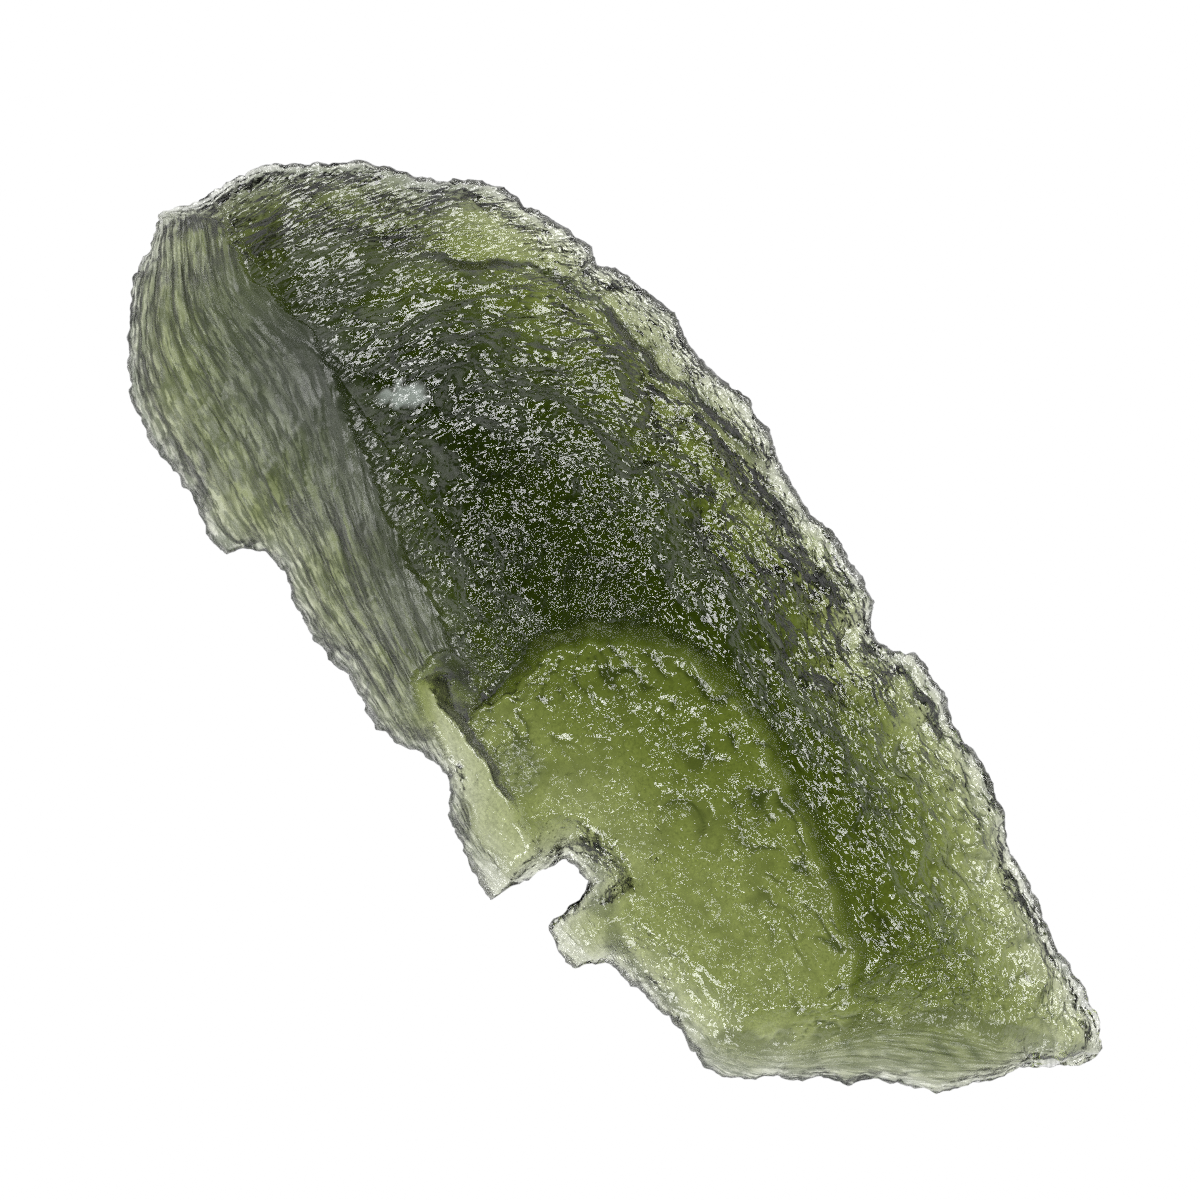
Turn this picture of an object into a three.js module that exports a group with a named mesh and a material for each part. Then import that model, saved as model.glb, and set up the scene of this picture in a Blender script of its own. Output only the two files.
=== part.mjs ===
// A moldavite: one natural piece of green glass, long and leaf shaped, with a thick crested end,
// a scooped bowl in its thinner end, and thin broken edges all round.
// Millimetres, +Z up. X runs along the stone, Y across it, and the origin lies under the middle
// of its outline, level with the small flat spot that the stone rests on.

import * as THREE from "three";
import { ParametricGeometry } from "three/addons/geometries/ParametricGeometry.js";
import { mergeVertices } from "three/addons/utils/BufferGeometryUtils.js";

// The outline seen from above, from the thick end at -X to the pointed tip at +X, as x, y.
// The left side holds the small broken chip, the fin, the notch beside it and the tab.
const LEFT_OUTLINE = [
  [-22.4, -1.8], [-21.7, -2.9], [-21.4, -4.0], [-20.6, -4.9], [-19.0, -6.4], [-18.2, -7.0],
  [-17.0, -7.3], [-15.3, -7.6], [-14.0, -7.7], [-12.7, -8.2], [-11.8, -8.2], [-11.5, -7.5],
  [-11.0, -7.1], [-9.9, -7.0], [-9.2, -7.4], [-7.5, -7.9], [-5.8, -7.8], [-3.6, -8.3],
  [-2.6, -8.1], [-1.9, -7.7], [-0.7, -7.6], [0.1, -8.1], [0.5, -8.5], [2.0, -9.0], [3.7, -9.5],
  [3.85, -8.7], [4.0, -7.9], [4.2, -7.1], [4.4, -6.4], [5.0, -6.3], [5.5, -6.4], [5.65, -6.8],
  [5.75, -7.7], [5.85, -8.6], [6.3, -8.7], [6.7, -9.0], [7.5, -8.8], [8.1, -7.8], [9.6, -7.6],
  [11.7, -7.5], [13.2, -7.7], [13.9, -7.5], [14.7, -6.8], [15.2, -6.0], [15.8, -5.7],
  [16.3, -4.9], [17.2, -4.3], [17.8, -3.4], [18.5, -2.8], [19.1, -2.5], [19.7, -1.9],
  [20.6, -0.1], [21.0, 1.0], [21.6, 1.6], [22.2, 2.1], [22.4, 3.3],
];
const RIGHT_OUTLINE = [
  [-22.4, -1.8], [-22.2, -1.2], [-21.8, -0.4], [-21.4, 1.5], [-21.0, 2.5], [-20.4, 3.1],
  [-19.0, 4.8], [-17.7, 5.8], [-17.3, 5.8], [-16.0, 7.2], [-15.0, 7.9], [-13.2, 8.4],
  [-11.4, 8.8], [-10.6, 8.6], [-9.6, 9.2], [-7.5, 9.5], [-6.0, 9.1], [-4.9, 9.1], [-3.5, 9.4],
  [-2.1, 9.2], [-0.6, 8.6], [1.1, 8.3], [2.0, 8.5], [3.3, 8.3], [5.0, 7.9], [5.4, 7.3],
  [5.9, 7.1], [6.7, 7.2], [7.2, 7.8], [8.9, 7.7], [9.7, 7.2], [12.0, 6.9], [13.7, 6.3],
  [14.8, 5.6], [17.0, 5.1], [18.1, 4.6], [20.3, 4.2], [21.3, 3.9], [22.4, 3.3],
];

// The smooth run of each thin rim, which the broad surfaces follow in place of the ragged outline,
// as x, y and its height z above the resting surface.
const LEFT_RIM = [
  [-22.4, -1.8, 3.6], [-21.4, -4.2, 3.4], [-19.4, -6.4, 3.2], [-16.5, -7.5, 3.1],
  [-11.0, -7.9, 3.0], [-4.0, -8.1, 2.9], [3.0, -8.6, 2.6], [9.0, -8.0, 2.3], [13.6, -7.4, 2.1],
  [16.4, -5.2, 2.1], [19.4, -2.3, 2.2], [22.4, 3.3, 2.4],
];
const RIGHT_RIM = [
  [-22.4, -1.8, 3.6], [-21.4, 1.5, 3.4], [-19.2, 4.7, 3.3], [-16.0, 7.2, 3.3],
  [-12.0, 8.7, 3.5], [-7.0, 9.4, 3.7], [-1.0, 8.9, 3.6], [5.0, 7.8, 3.3], [11.0, 7.1, 2.8],
  [17.0, 5.2, 2.4], [22.4, 3.3, 2.4],
];

// The upper face is the lowest of five simple surfaces, each named for the landform it makes.
// Each row is x, y, z of the line the surface hangs from.
const DOME_APEX = [
  [-22.4, -1.2, 4.6], [-20.5, -0.4, 7.4], [-18.5, 0.0, 9.0], [-13.0, -0.6, 10.2],
  [-8.0, -1.2, 9.8], [-4.2, -0.6, 9.0], [-1.0, 1.4, 8.3], [1.7, 3.2, 7.8], [6.8, 2.6, 7.2],
  [11.4, 1.5, 6.6], [14.8, 0.2, 6.0], [18.0, 1.6, 4.6], [22.4, 3.3, 2.9],
];
const FLANK_CREST = [
  [-22.4, -1.5, 4.4], [-21.6, 0.0, 6.6], [-18.5, -1.0, 8.7], [-12.9, -2.2, 9.9],
  [-8.0, -3.2, 9.2], [-4.2, -4.3, 8.0], [-0.1, -5.6, 6.2], [3.5, -7.0, 4.8], [4.4, -6.0, 4.5],
  [5.5, -6.0, 4.4], [6.4, -6.6, 4.4], [9.4, -7.1, 4.4], [12.4, -7.0, 4.6], [13.6, -5.9, 4.9],
  [14.8, -4.6, 5.2], [15.7, -3.0, 5.3], [16.5, -1.3, 5.2], [18.6, 0.7, 4.4], [20.7, 1.9, 3.6],
  [22.4, 3.3, 2.9],
];
const CROWN_LINE = [
  [-22.4, -1.5, 4.2], [-21.6, 0.3, 5.8], [-18.5, -0.6, 7.6], [-17.1, 0.1, 8.0],
  [-16.1, 2.7, 7.0], [-15.0, 4.5, 6.1], [-13.0, 6.1, 5.3], [-11.7, 7.3, 4.9], [-10.3, 7.9, 4.7],
  [-8.1, 8.4, 4.6], [-5.4, 8.8, 4.5], [-3.0, 9.0, 4.5], [22.4, 9.4, 4.5],
];
const BOWL_WALL = [
  [-1.6, -14.0], [-1.5, -4.4], [-1.3, -1.6], [-0.1, 0.3], [1.7, 1.5], [3.6, 1.7], [5.9, 1.6],
  [8.2, 0.9], [10.8, 0.1], [13.6, -1.0], [15.4, -2.2], [16.0, -3.6], [16.0, -14.0],
];
const BOWL_FLOOR = { x: 6.5, y: -3.8, z: 3.7 };
const BOWL_HALF_SIZE = { length: 8, width: 5 };
const BOWL_RISE = { lengthways: 0.9, crossways: 1.3 };
const WALL_SLOPE = 1.6;
const CROWN_STEP_SLOPE = 1.8;
const RIM_ROUND = 0.25;
const RIM_SLOPE = 1.3;

// The underside is a shallow keel, sliced off level at z = 0 where it would dip below the flat
// spot, and lifted under the parts where the glass is thin.
const KEEL = [
  [-22.4, -1.8, 2.6], [-18.5, -0.5, 1.2], [-13.0, 0.2, 0.5], [-6.5, 0.3, -0.15],
  [-1.0, 0.4, -0.35], [3.5, 0.4, -0.2], [8.0, 0.6, 0.5], [13.0, 0.5, 1.1], [18.0, 1.5, 1.5],
  [22.4, 3.3, 2.0],
];
const LEAST_THICKNESS = 0.45;

const STATIONS = 104;
const CELLS_ABOVE = 22;
const CELLS_BELOW = 16;

const { clamp, lerp } = THREE.MathUtils;

// The value in the given column of a list of rows at x, along a smooth curve through the rows.
function along(rows, column, x) {
  let i = 0;
  while (i < rows.length - 2 && x > rows[i + 1][0]) i++;
  const slope = (a, b) => (rows[b][column] - rows[a][column]) / (rows[b][0] - rows[a][0]);
  const span = rows[i + 1][0] - rows[i][0];
  const t = clamp((x - rows[i][0]) / span, 0, 1);
  const startSlope = slope(Math.max(i - 1, 0), i + 1) * span;
  const endSlope = slope(i, Math.min(i + 2, rows.length - 1)) * span;
  const start = rows[i][column];
  const rise = rows[i + 1][column] - start;
  const bend = 3 * rise - 2 * startSlope - endSlope;
  const twist = startSlope + endSlope - 2 * rise;
  return start + t * (startSlope + t * (bend + t * twist));
}

// The y of an outline at x, straight from point to point.
function outlineY(points, x) {
  let i = 0;
  while (i < points.length - 2 && x > points[i + 1][0]) i++;
  const t = clamp((x - points[i][0]) / (points[i + 1][0] - points[i][0]), 0, 1);
  return lerp(points[i][1], points[i + 1][1], t);
}

// The shortest distance in plan from a place to a line of points.
function distanceTo(points, x, y) {
  let nearest = Infinity;
  for (let i = 1; i < points.length; i++) {
    const [ax, ay] = points[i - 1];
    const [dx, dy] = [points[i][0] - ax, points[i][1] - ay];
    const t = clamp(((x - ax) * dx + (y - ay) * dy) / (dx * dx + dy * dy), 0, 1);
    nearest = Math.min(nearest, Math.hypot(x - ax - t * dx, y - ay - t * dy));
  }
  return nearest;
}

// The lower of two heights, blended over a width where they meet so that the edge is worn.
function wornMin(a, b, width) {
  const mix = clamp(0.5 + (0.5 * (b - a)) / width, 0, 1);
  return lerp(b, a, mix) - width * mix * (1 - mix);
}

// The broad back of the stone: highest along its apex line, falling away to both sides.
function domeHeight(x, y, left, right) {
  const apexY = along(DOME_APEX, 1, x);
  const apexZ = along(DOME_APEX, 2, x);
  if (y > apexY) {
    const out = clamp((y - apexY) / Math.max(right.y - apexY, 0.1), 0, 1);
    return lerp(apexZ, right.z + 0.7, out ** 1.6);
  }
  const out = clamp((apexY - y) / Math.max(apexY - left.y, 0.1), 0, 1);
  return lerp(apexZ, 0.6 * apexZ, out ** 2);
}

// The broken flank that rises from the left rim to the crest and runs on past it.
function flankHeight(x, y, left) {
  const crestY = along(FLANK_CREST, 1, x);
  const crestZ = along(FLANK_CREST, 2, x);
  const up = Math.max((y - left.y) / Math.max(crestY - left.y, 0.3), 0);
  return lerp(left.z + RIM_ROUND, crestZ, up ** 1.15);
}

// The scooped bowl: a shallow dish with a steep wall where it meets the back.
function bowlHeight(x, y) {
  const dish =
    BOWL_FLOOR.z +
    BOWL_RISE.lengthways * ((x - BOWL_FLOOR.x) / BOWL_HALF_SIZE.length) ** 2 +
    BOWL_RISE.crossways * ((y - BOWL_FLOOR.y) / BOWL_HALF_SIZE.width) ** 2;
  const [first, last] = [BOWL_WALL[0][0], BOWL_WALL.at(-1)[0]];
  const within = x > first && x < last && y < outlineY(BOWL_WALL, x);
  return within ? dish : dish + WALL_SLOPE * distanceTo(BOWL_WALL, x, y);
}

// The terrace outside the crown line, a step lower than the back.
function terraceHeight(x, y, right) {
  const lineY = along(CROWN_LINE, 1, x);
  const lineZ = along(CROWN_LINE, 2, x);
  const up = clamp((right.y - y) / Math.max(right.y - lineY, 0.3), 0, 1);
  const terrace = lerp(right.z + RIM_ROUND, lineZ, up ** 0.8);
  return y > lineY ? terrace : terrace + CROWN_STEP_SLOPE * distanceTo(CROWN_LINE, x, y);
}

// How far the skin stands from the rim line at a distance in plan from it: a rounded edge, then
// a slope.
function rimRise(distance) {
  const round = Math.min(distance, RIM_ROUND);
  return Math.sqrt(round * (2 * RIM_ROUND - round)) + RIM_SLOPE * (distance - round);
}

// The height of the rim beside a place, shared between the two sides by how near each is.
function rimBeside(y, left, right) {
  const share = clamp((y - left.y) / Math.max(right.y - left.y, 1e-6), 0, 1);
  return lerp(left.z, right.z, share);
}

function topHeight(x, y, left, right, distance) {
  let z = wornMin(domeHeight(x, y, left, right), bowlHeight(x, y), 0.3);
  z = wornMin(z, terraceHeight(x, y, right), 0.2);
  z = wornMin(z, flankHeight(x, y, left), 0.2);
  return wornMin(z, rimBeside(y, left, right) + rimRise(distance), 0.2);
}

function bottomHeight(x, y, left, right, distance, top) {
  const keelY = along(KEEL, 1, x);
  const keelZ = along(KEEL, 2, x);
  const rim = y > keelY ? right : left;
  const out = clamp((y - keelY) / (Math.abs(rim.y - keelY) < 0.1 ? 0.1 : rim.y - keelY), 0, 1);
  const keel = lerp(keelZ, rim.z, out ** 1.8);
  const edge = rimBeside(y, left, right) - rimRise(distance);
  const thinnest = top - Math.min(LEAST_THICKNESS, 2 * distance);
  return Math.max(0, Math.min(Math.max(keel, edge), thinnest));
}

// Stations are spread evenly along the summed length of the two sides of the outline, so that
// the blunt end, the notch and the tab get as many as they need.
function stationPlaces() {
  const fine = 4000;
  const [start, end] = [LEFT_OUTLINE[0][0], LEFT_OUTLINE.at(-1)[0]];
  const reached = [0];
  for (let i = 1; i <= fine; i++) {
    const [x0, x1] = [lerp(start, end, (i - 1) / fine), lerp(start, end, i / fine)];
    const step = [LEFT_OUTLINE, RIGHT_OUTLINE].reduce(
      (sum, side) => sum + Math.hypot(x1 - x0, outlineY(side, x1) - outlineY(side, x0)), 0);
    reached.push(reached[i - 1] + step);
  }
  const places = [];
  for (let i = 0, k = 0; i <= STATIONS; i++) {
    const wanted = (reached[fine] * i) / STATIONS;
    while (k < fine - 1 && reached[k + 1] < wanted) k++;
    places.push(lerp(start, end, (k + (wanted - reached[k]) / (reached[k + 1] - reached[k])) / fine));
  }
  return places;
}

// The skin as one closed grid: v walks the stations from the pointed tip, and u goes over the top
// from the left rim to the right and back underneath.
function makeSkin() {
  const places = stationPlaces();
  const ring = CELLS_ABOVE + CELLS_BELOW;
  const outline = [...LEFT_OUTLINE, ...RIGHT_OUTLINE.slice(0, -1).reverse()];

  function skinPoint(u, v, target) {
    const x = places[STATIONS - Math.round(v * STATIONS)];
    const step = Math.round(u * ring) % ring;
    const above = step <= CELLS_ABOVE;
    const across = above ? step / CELLS_ABOVE : 1 - (step - CELLS_ABOVE) / CELLS_BELOW;
    const eased = lerp(across, 0.5 - 0.5 * Math.cos(Math.PI * across), 0.6);
    const [start, end] = [outlineY(LEFT_OUTLINE, x), outlineY(RIGHT_OUTLINE, x)];
    const y = lerp(start, end, eased);
    const left = { y: along(LEFT_RIM, 1, x), z: along(LEFT_RIM, 2, x) };
    const right = { y: along(RIGHT_RIM, 1, x), z: along(RIGHT_RIM, 2, x) };
    const onRim = step === 0 || step === CELLS_ABOVE || end - start < 1e-6;
    if (onRim) return target.set(x, y, rimBeside(y, left, right));
    const distance = distanceTo(outline, x, y);
    const top = topHeight(x, y, left, right, distance);
    return target.set(x, y, above ? top : bottomHeight(x, y, left, right, distance, top));
  }

  return new ParametricGeometry(skinPoint, ring, STATIONS);
}

// Joins the seams and poles of a grid and drops the triangles that they flatten to nothing.
function closeUp(grid) {
  grid.deleteAttribute("normal");
  grid.deleteAttribute("uv");
  const joined = mergeVertices(grid, 2e-3);
  const kept = [];
  const index = joined.index.array;
  for (let i = 0; i < index.length; i += 3) {
    const [a, b, c] = index.subarray(i, i + 3);
    if (a !== b && b !== c && c !== a) kept.push(a, b, c);
  }
  joined.setIndex(kept);
  joined.computeVertexNormals();
  return joined;
}

const glass = new THREE.MeshStandardMaterial({ color: 0x6b7a35, roughness: 0.2, metalness: 0 });

const stone = new THREE.Mesh(closeUp(makeSkin()), glass);
stone.name = "moldavite";

const group = new THREE.Group();
group.add(stone);

export default group;
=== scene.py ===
"""A moldavite on a light table, seen from straight above.

The stone is one closed skin of clear green glass. Its upper face is the lowest of several simple
surfaces, one for each landform, and every landform has its own etched relief that follows the way
the glass flows there. Lengths are in millimetres until the mesh is filled, and in metres after.
"""

import logging
import math
from dataclasses import dataclass, field
from enum import Enum, IntEnum

import bpy
import numpy as np
from mathutils import Matrix, Vector

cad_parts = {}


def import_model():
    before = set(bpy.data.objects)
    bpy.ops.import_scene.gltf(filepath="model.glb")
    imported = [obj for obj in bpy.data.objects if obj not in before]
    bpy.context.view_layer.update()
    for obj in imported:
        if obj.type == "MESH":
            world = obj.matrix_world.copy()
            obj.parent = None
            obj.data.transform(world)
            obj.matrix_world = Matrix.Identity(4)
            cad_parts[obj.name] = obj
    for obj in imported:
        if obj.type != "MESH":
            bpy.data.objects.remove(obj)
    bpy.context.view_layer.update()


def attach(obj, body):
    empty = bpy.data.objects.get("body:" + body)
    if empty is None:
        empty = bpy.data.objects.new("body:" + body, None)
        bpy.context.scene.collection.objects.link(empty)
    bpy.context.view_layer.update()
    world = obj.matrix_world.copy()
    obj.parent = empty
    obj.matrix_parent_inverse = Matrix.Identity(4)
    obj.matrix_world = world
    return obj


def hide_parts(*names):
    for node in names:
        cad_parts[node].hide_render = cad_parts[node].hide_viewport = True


LOG = logging.getLogger("moldavite")
MM = 0.001
NODE = "moldavite"
BODY = "root"

Array = np.ndarray
Socket = bpy.types.NodeSocket
Pair = tuple[float, float]
Triple = tuple[float, float, float]


class Landform(IntEnum):
    """The surfaces that make up the upper face, each with its own flow and relief."""

    BACK = 0
    BOWL = 1
    CROWN = 2
    FLANK = 3
    WINDOW = 4


class Pattern(Enum):
    """The patterns that a layer can have, each named as the method that draws it."""

    WAVES = "waves"
    CUPS = "cups"
    MOUNDS = "mounds"
    STEPS = "steps"
    CRACKS = "cracks"
    RIDGES = "ridges"


def rows(*points: tuple[float, ...]) -> Array:
    """Return a dataclass field that holds points as the rows of an array."""
    return field(default_factory=lambda: np.array(points))


def lerp(start: Array | float, end: Array | float, share: Array | float) -> Array | float:
    """Return start plus a share of the way to end."""
    return start + (end - start) * share


def ease(low: float, high: float, value: Array) -> Array:
    """Return an S-shaped step: 0 below low, 1 above high, smooth between.

    Args:
        low: where the step starts.
        high: where the step ends; it may be below low, which turns the step round.
        value: places to work it out at.

    Returns:
        three times t squared less two times t cubed, t being the clipped share of the way.
    """
    share = np.clip((value - low) / (high - low), 0.0, 1.0)
    return share * share * (3.0 - 2.0 * share)


def between(start: Pair, end: Pair, value: Array) -> Array:
    """Return 1 inside a range and 0 outside it: one step up at its start, times one at its end."""
    return ease(*start, value) * ease(*end, value)


def worn_min(first: Array, second: Array, width: float) -> Array:
    """Return the lower of two heights, blended where they meet so that the edge is worn.

    Args:
        first: one height.
        second: the other height.
        width: height difference over which the two blend.

    Returns:
        the quadratic smooth minimum of the two.
    """
    mix = np.clip(0.5 + 0.5 * (second - first) / width, 0.0, 1.0)
    return lerp(second, first, mix) - width * mix * (1.0 - mix)


def smooth_line(line: Array, column: int, x: Array) -> Array:
    """Return a column of a line's rows at x, along a cubic curve through the rows.

    Args:
        line: rows whose first column is x, rising.
        column: the column to read.
        x: places to read it at.

    Returns:
        the Hermite curve whose slope at each row is that of the chord across its neighbours.
    """
    last = len(line) - 1
    i = np.clip(np.searchsorted(line[:, 0], x, side="left") - 1, 0, last - 1)

    def chord(a: Array, b: Array) -> Array:
        """Return the slope of the chord from row a to row b."""
        return (line[b, column] - line[a, column]) / (line[b, 0] - line[a, 0])

    span = line[i + 1, 0] - line[i, 0]
    t = np.clip((x - line[i, 0]) / span, 0.0, 1.0)
    start_slope = chord(np.maximum(i - 1, 0), i + 1) * span
    end_slope = chord(i, np.minimum(i + 2, last)) * span
    start = line[i, column]
    rise = line[i + 1, column] - start
    bend = 3.0 * rise - 2.0 * start_slope - end_slope
    twist = start_slope + end_slope - 2.0 * rise
    return start + t * (start_slope + t * (bend + t * twist))


@dataclass(frozen=True)
class Noise:
    """Seeded noise on a plane, worked out from hashed lattice cells."""

    seed: int

    def _draw(self, ix: Array, iy: Array, channel: int) -> Array:
        """Return a fixed random number from 0 to 1 for each lattice cell.

        Args:
            ix: cell column.
            iy: cell row.
            channel: which of the cell's numbers to draw.

        Returns:
            the cell's indices, seed and channel mixed by multiplying and shifting.
        """
        mixed = (
            ix.astype(np.int64) * 0x8DA6B343
            ^ iy.astype(np.int64) * 0xD8163841
            ^ (self.seed * 0x9E3779B1 + channel * 0x85EBCA6B)
        ) & 0xFFFFFFFF
        for shift, factor in ((15, 0x2C1B3C6D), (12, 0x297A2D39), (15, 1)):
            mixed = ((mixed ^ (mixed >> shift)) * factor) & 0xFFFFFFFF
        return mixed / 2.0**32

    def waves(self, u: Array, v: Array) -> Array:
        """Return gradient noise, about -1 to 1, with one wave to a unit or two.

        Args:
            u: first coordinate.
            v: second coordinate.

        Returns:
            the slopes drawn at the four cell corners, carried to the place and blended.
        """
        iu, iv = np.floor(u), np.floor(v)
        fu, fv = u - iu, v - iv
        total = np.zeros(u.shape)
        for du in (0, 1):
            for dv in (0, 1):
                angle = 2.0 * math.pi * self._draw(iu + du, iv + dv, 0)
                ramp = np.cos(angle) * (fu - du) + np.sin(angle) * (fv - dv)
                near_u, near_v = 1.0 - np.abs(fu - du), 1.0 - np.abs(fv - dv)
                blend_u = near_u**3 * (near_u * (near_u * 6.0 - 15.0) + 10.0)
                blend_v = near_v**3 * (near_v * (near_v * 6.0 - 15.0) + 10.0)
                total += ramp * blend_u * blend_v
        return 1.5 * total

    def cells(self, u: Array, v: Array) -> tuple[Array, Array, Array, Array]:
        """Return how each place lies in a pattern of scattered cells.

        Args:
            u: first coordinate.
            v: second coordinate.

        Returns:
            distance to the nearest cell centre, distance to the second nearest, and two random
            numbers from -1 to 1 that belong to the nearest cell.
        """
        iu, iv = np.floor(u), np.floor(v)
        first, second = np.full(u.shape, np.inf), np.full(u.shape, np.inf)
        tilt_u, tilt_v = np.zeros(u.shape), np.zeros(u.shape)
        for du in (-1, 0, 1):
            for dv in (-1, 0, 1):
                cu, cv = iu + du, iv + dv
                away_u = cu + self._draw(cu, cv, 1) - u
                away_v = cv + self._draw(cu, cv, 2) - v
                away = np.hypot(away_u, away_v)
                closer = away < first
                second = np.where(closer, first, np.minimum(second, away))
                first = np.where(closer, away, first)
                tilt_u = np.where(closer, 2.0 * self._draw(cu, cv, 3) - 1.0, tilt_u)
                tilt_v = np.where(closer, 2.0 * self._draw(cu, cv, 4) - 1.0, tilt_v)
        return first, second, tilt_u, tilt_v

    def cups(self, u: Array, v: Array) -> Array:
        """Return touching cups: the squared distance to the nearest centre, less its mean."""
        return np.minimum(self.cells(u, v)[0] ** 2, 1.0) - 0.22

    def mounds(self, u: Array, v: Array, share: float) -> Array:
        """Return scattered round mounds, none of which touch.

        Args:
            u: first coordinate, at most one mound to a unit.
            v: second coordinate.
            share: share of the places that have a mound.

        Returns:
            the square of one less the squared distance over the mound's radius, times a random
            height from a half to one.
        """
        first, _, chance, height = self.cells(u, v)
        dome = np.clip(1.0 - (first / 0.38) ** 2, 0.0, 1.0) ** 2
        return dome * (0.75 + 0.25 * height) * (0.5 + 0.5 * chance < share)

    def steps(self, u: Array, v: Array, riser: float) -> Array:
        """Return stacked layers: each rises gently for most of its width, then drops.

        Args:
            u: coordinate along the layers.
            v: coordinate across them, one layer to a unit.
            riser: share of a layer's width in which it drops.

        Returns:
            a saw with a steep side, from 0 to 1, whose layers are bent by waves.
        """
        bent = v + 0.45 * self.waves(u * 0.5, v * 0.35) + 0.25 * self.waves(u * 1.7, v * 0.9)
        share = bent - np.floor(bent)
        return np.minimum(share / (1.0 - riser), (1.0 - share) / riser)

    def cracks(self, u: Array, v: Array, width: float) -> Array:
        """Return a net of cracks along the borders between cells.

        Args:
            u: first coordinate, one cell to a unit.
            v: second coordinate.
            width: difference between the distances to two centres at which a crack ends.

        Returns:
            1 on a border, falling straight to 0.
        """
        first, second, _, _ = self.cells(u, v)
        return np.clip(1.0 - (second - first) / width, 0.0, 1.0)

    def ridges(self, u: Array, v: Array) -> Array:
        """Return ridges that wander along the lines where waves cross zero, from -1 to 1."""
        return 1.0 - 2.0 * np.minimum(np.abs(self.waves(u, v)) * 1.6, 1.0)


@dataclass(frozen=True)
class Plan:
    """Places seen from above: x along the stone and y across it, or along and across its flow."""

    x: Array
    y: Array

    def waves(self, seed: int, length: float, width: float = 0.0) -> Array:
        """Return seeded waves of a length, and of the same width unless one is given."""
        return Noise(seed).waves(self.x / length, self.y / (width or length))

    def wandering(self, seed: int, size: float) -> "Plan":
        """Return the places pushed about by waves of a size, so that no pattern looks regular."""
        push_x, push_y = self.waves(seed, size), self.waves(seed + 1, size)
        return Plan(self.x + 0.3 * size * push_x, self.y + 0.3 * size * push_y)

    def away_from(self, centre: Pair) -> Array:
        """Return the distance of each place from one place."""
        return np.hypot(self.x - centre[0], self.y - centre[1])

    def away_from_line(self, line: Array) -> Array:
        """Return the shortest distance of each place from a line of points.

        Args:
            line: points of the line, x and y first.

        Returns:
            the least distance over the line's segments, each clamped at its ends.
        """
        nearest = np.full(self.x.shape, np.inf)
        for (ax, ay), (bx, by) in zip(line[:-1, :2], line[1:, :2]):
            dx, dy = bx - ax, by - ay
            t = np.clip(((self.x - ax) * dx + (self.y - ay) * dy) / (dx * dx + dy * dy), 0.0, 1.0)
            nearest = np.minimum(nearest, np.hypot(self.x - ax - t * dx, self.y - ay - t * dy))
        return nearest

    def inside(self, loop: Array) -> Array:
        """Return which places lie inside a closed line of points.

        Args:
            loop: points of the line, the last the same as the first.

        Returns:
            true where a ray towards rising x crosses the line an odd number of times.
        """
        crossings = np.zeros(self.x.shape, dtype=int)
        for (ax, ay), (bx, by) in zip(loop[:-1], loop[1:]):
            spans = (ay > self.y) != (by > self.y)
            at = ax + (self.y - ay) * (bx - ax) / (by - ay if by != ay else 1.0)
            crossings += spans & (at > self.x)
        return crossings % 2 == 1


@dataclass(frozen=True)
class Layer:
    """One layer of relief: a seeded pattern with a depth and a size in millimetres.

    A depth of 1 leaves the pattern as it is. The detail is the pattern's last number, where it has
    one: a share, a riser or a width.
    """

    pattern: Pattern
    seed: int
    depth: float
    length: float
    width: float
    detail: tuple[float, ...] = ()

    def over(self, place: Plan) -> Array:
        """Return the depth times the pattern, stretched to the layer's length and width."""
        draw = getattr(Noise(self.seed), self.pattern.value)
        return self.depth * draw(place.x / self.length, place.y / self.width, *self.detail)


def pile(layers: tuple[Layer, ...], place: Plan) -> Array:
    """Return the sum of several layers at each place."""
    return sum(layer.over(place) for layer in layers)


@dataclass(frozen=True)
class Rims:
    """Where both smooth rims run beside each place, and how high."""

    left_y: Array
    left_z: Array
    right_y: Array
    right_z: Array

    def way_left(self, line_y: Array, y: Array) -> Array:
        """Return the share of the way from a line to the left rim."""
        return np.clip((line_y - y) / np.maximum(line_y - self.left_y, 0.1), 0.0, 1.0)

    def way_right(self, line_y: Array, y: Array) -> Array:
        """Return the share of the way from a line to the right rim."""
        return np.clip((y - line_y) / np.maximum(self.right_y - line_y, 0.1), 0.0, 1.0)


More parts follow.
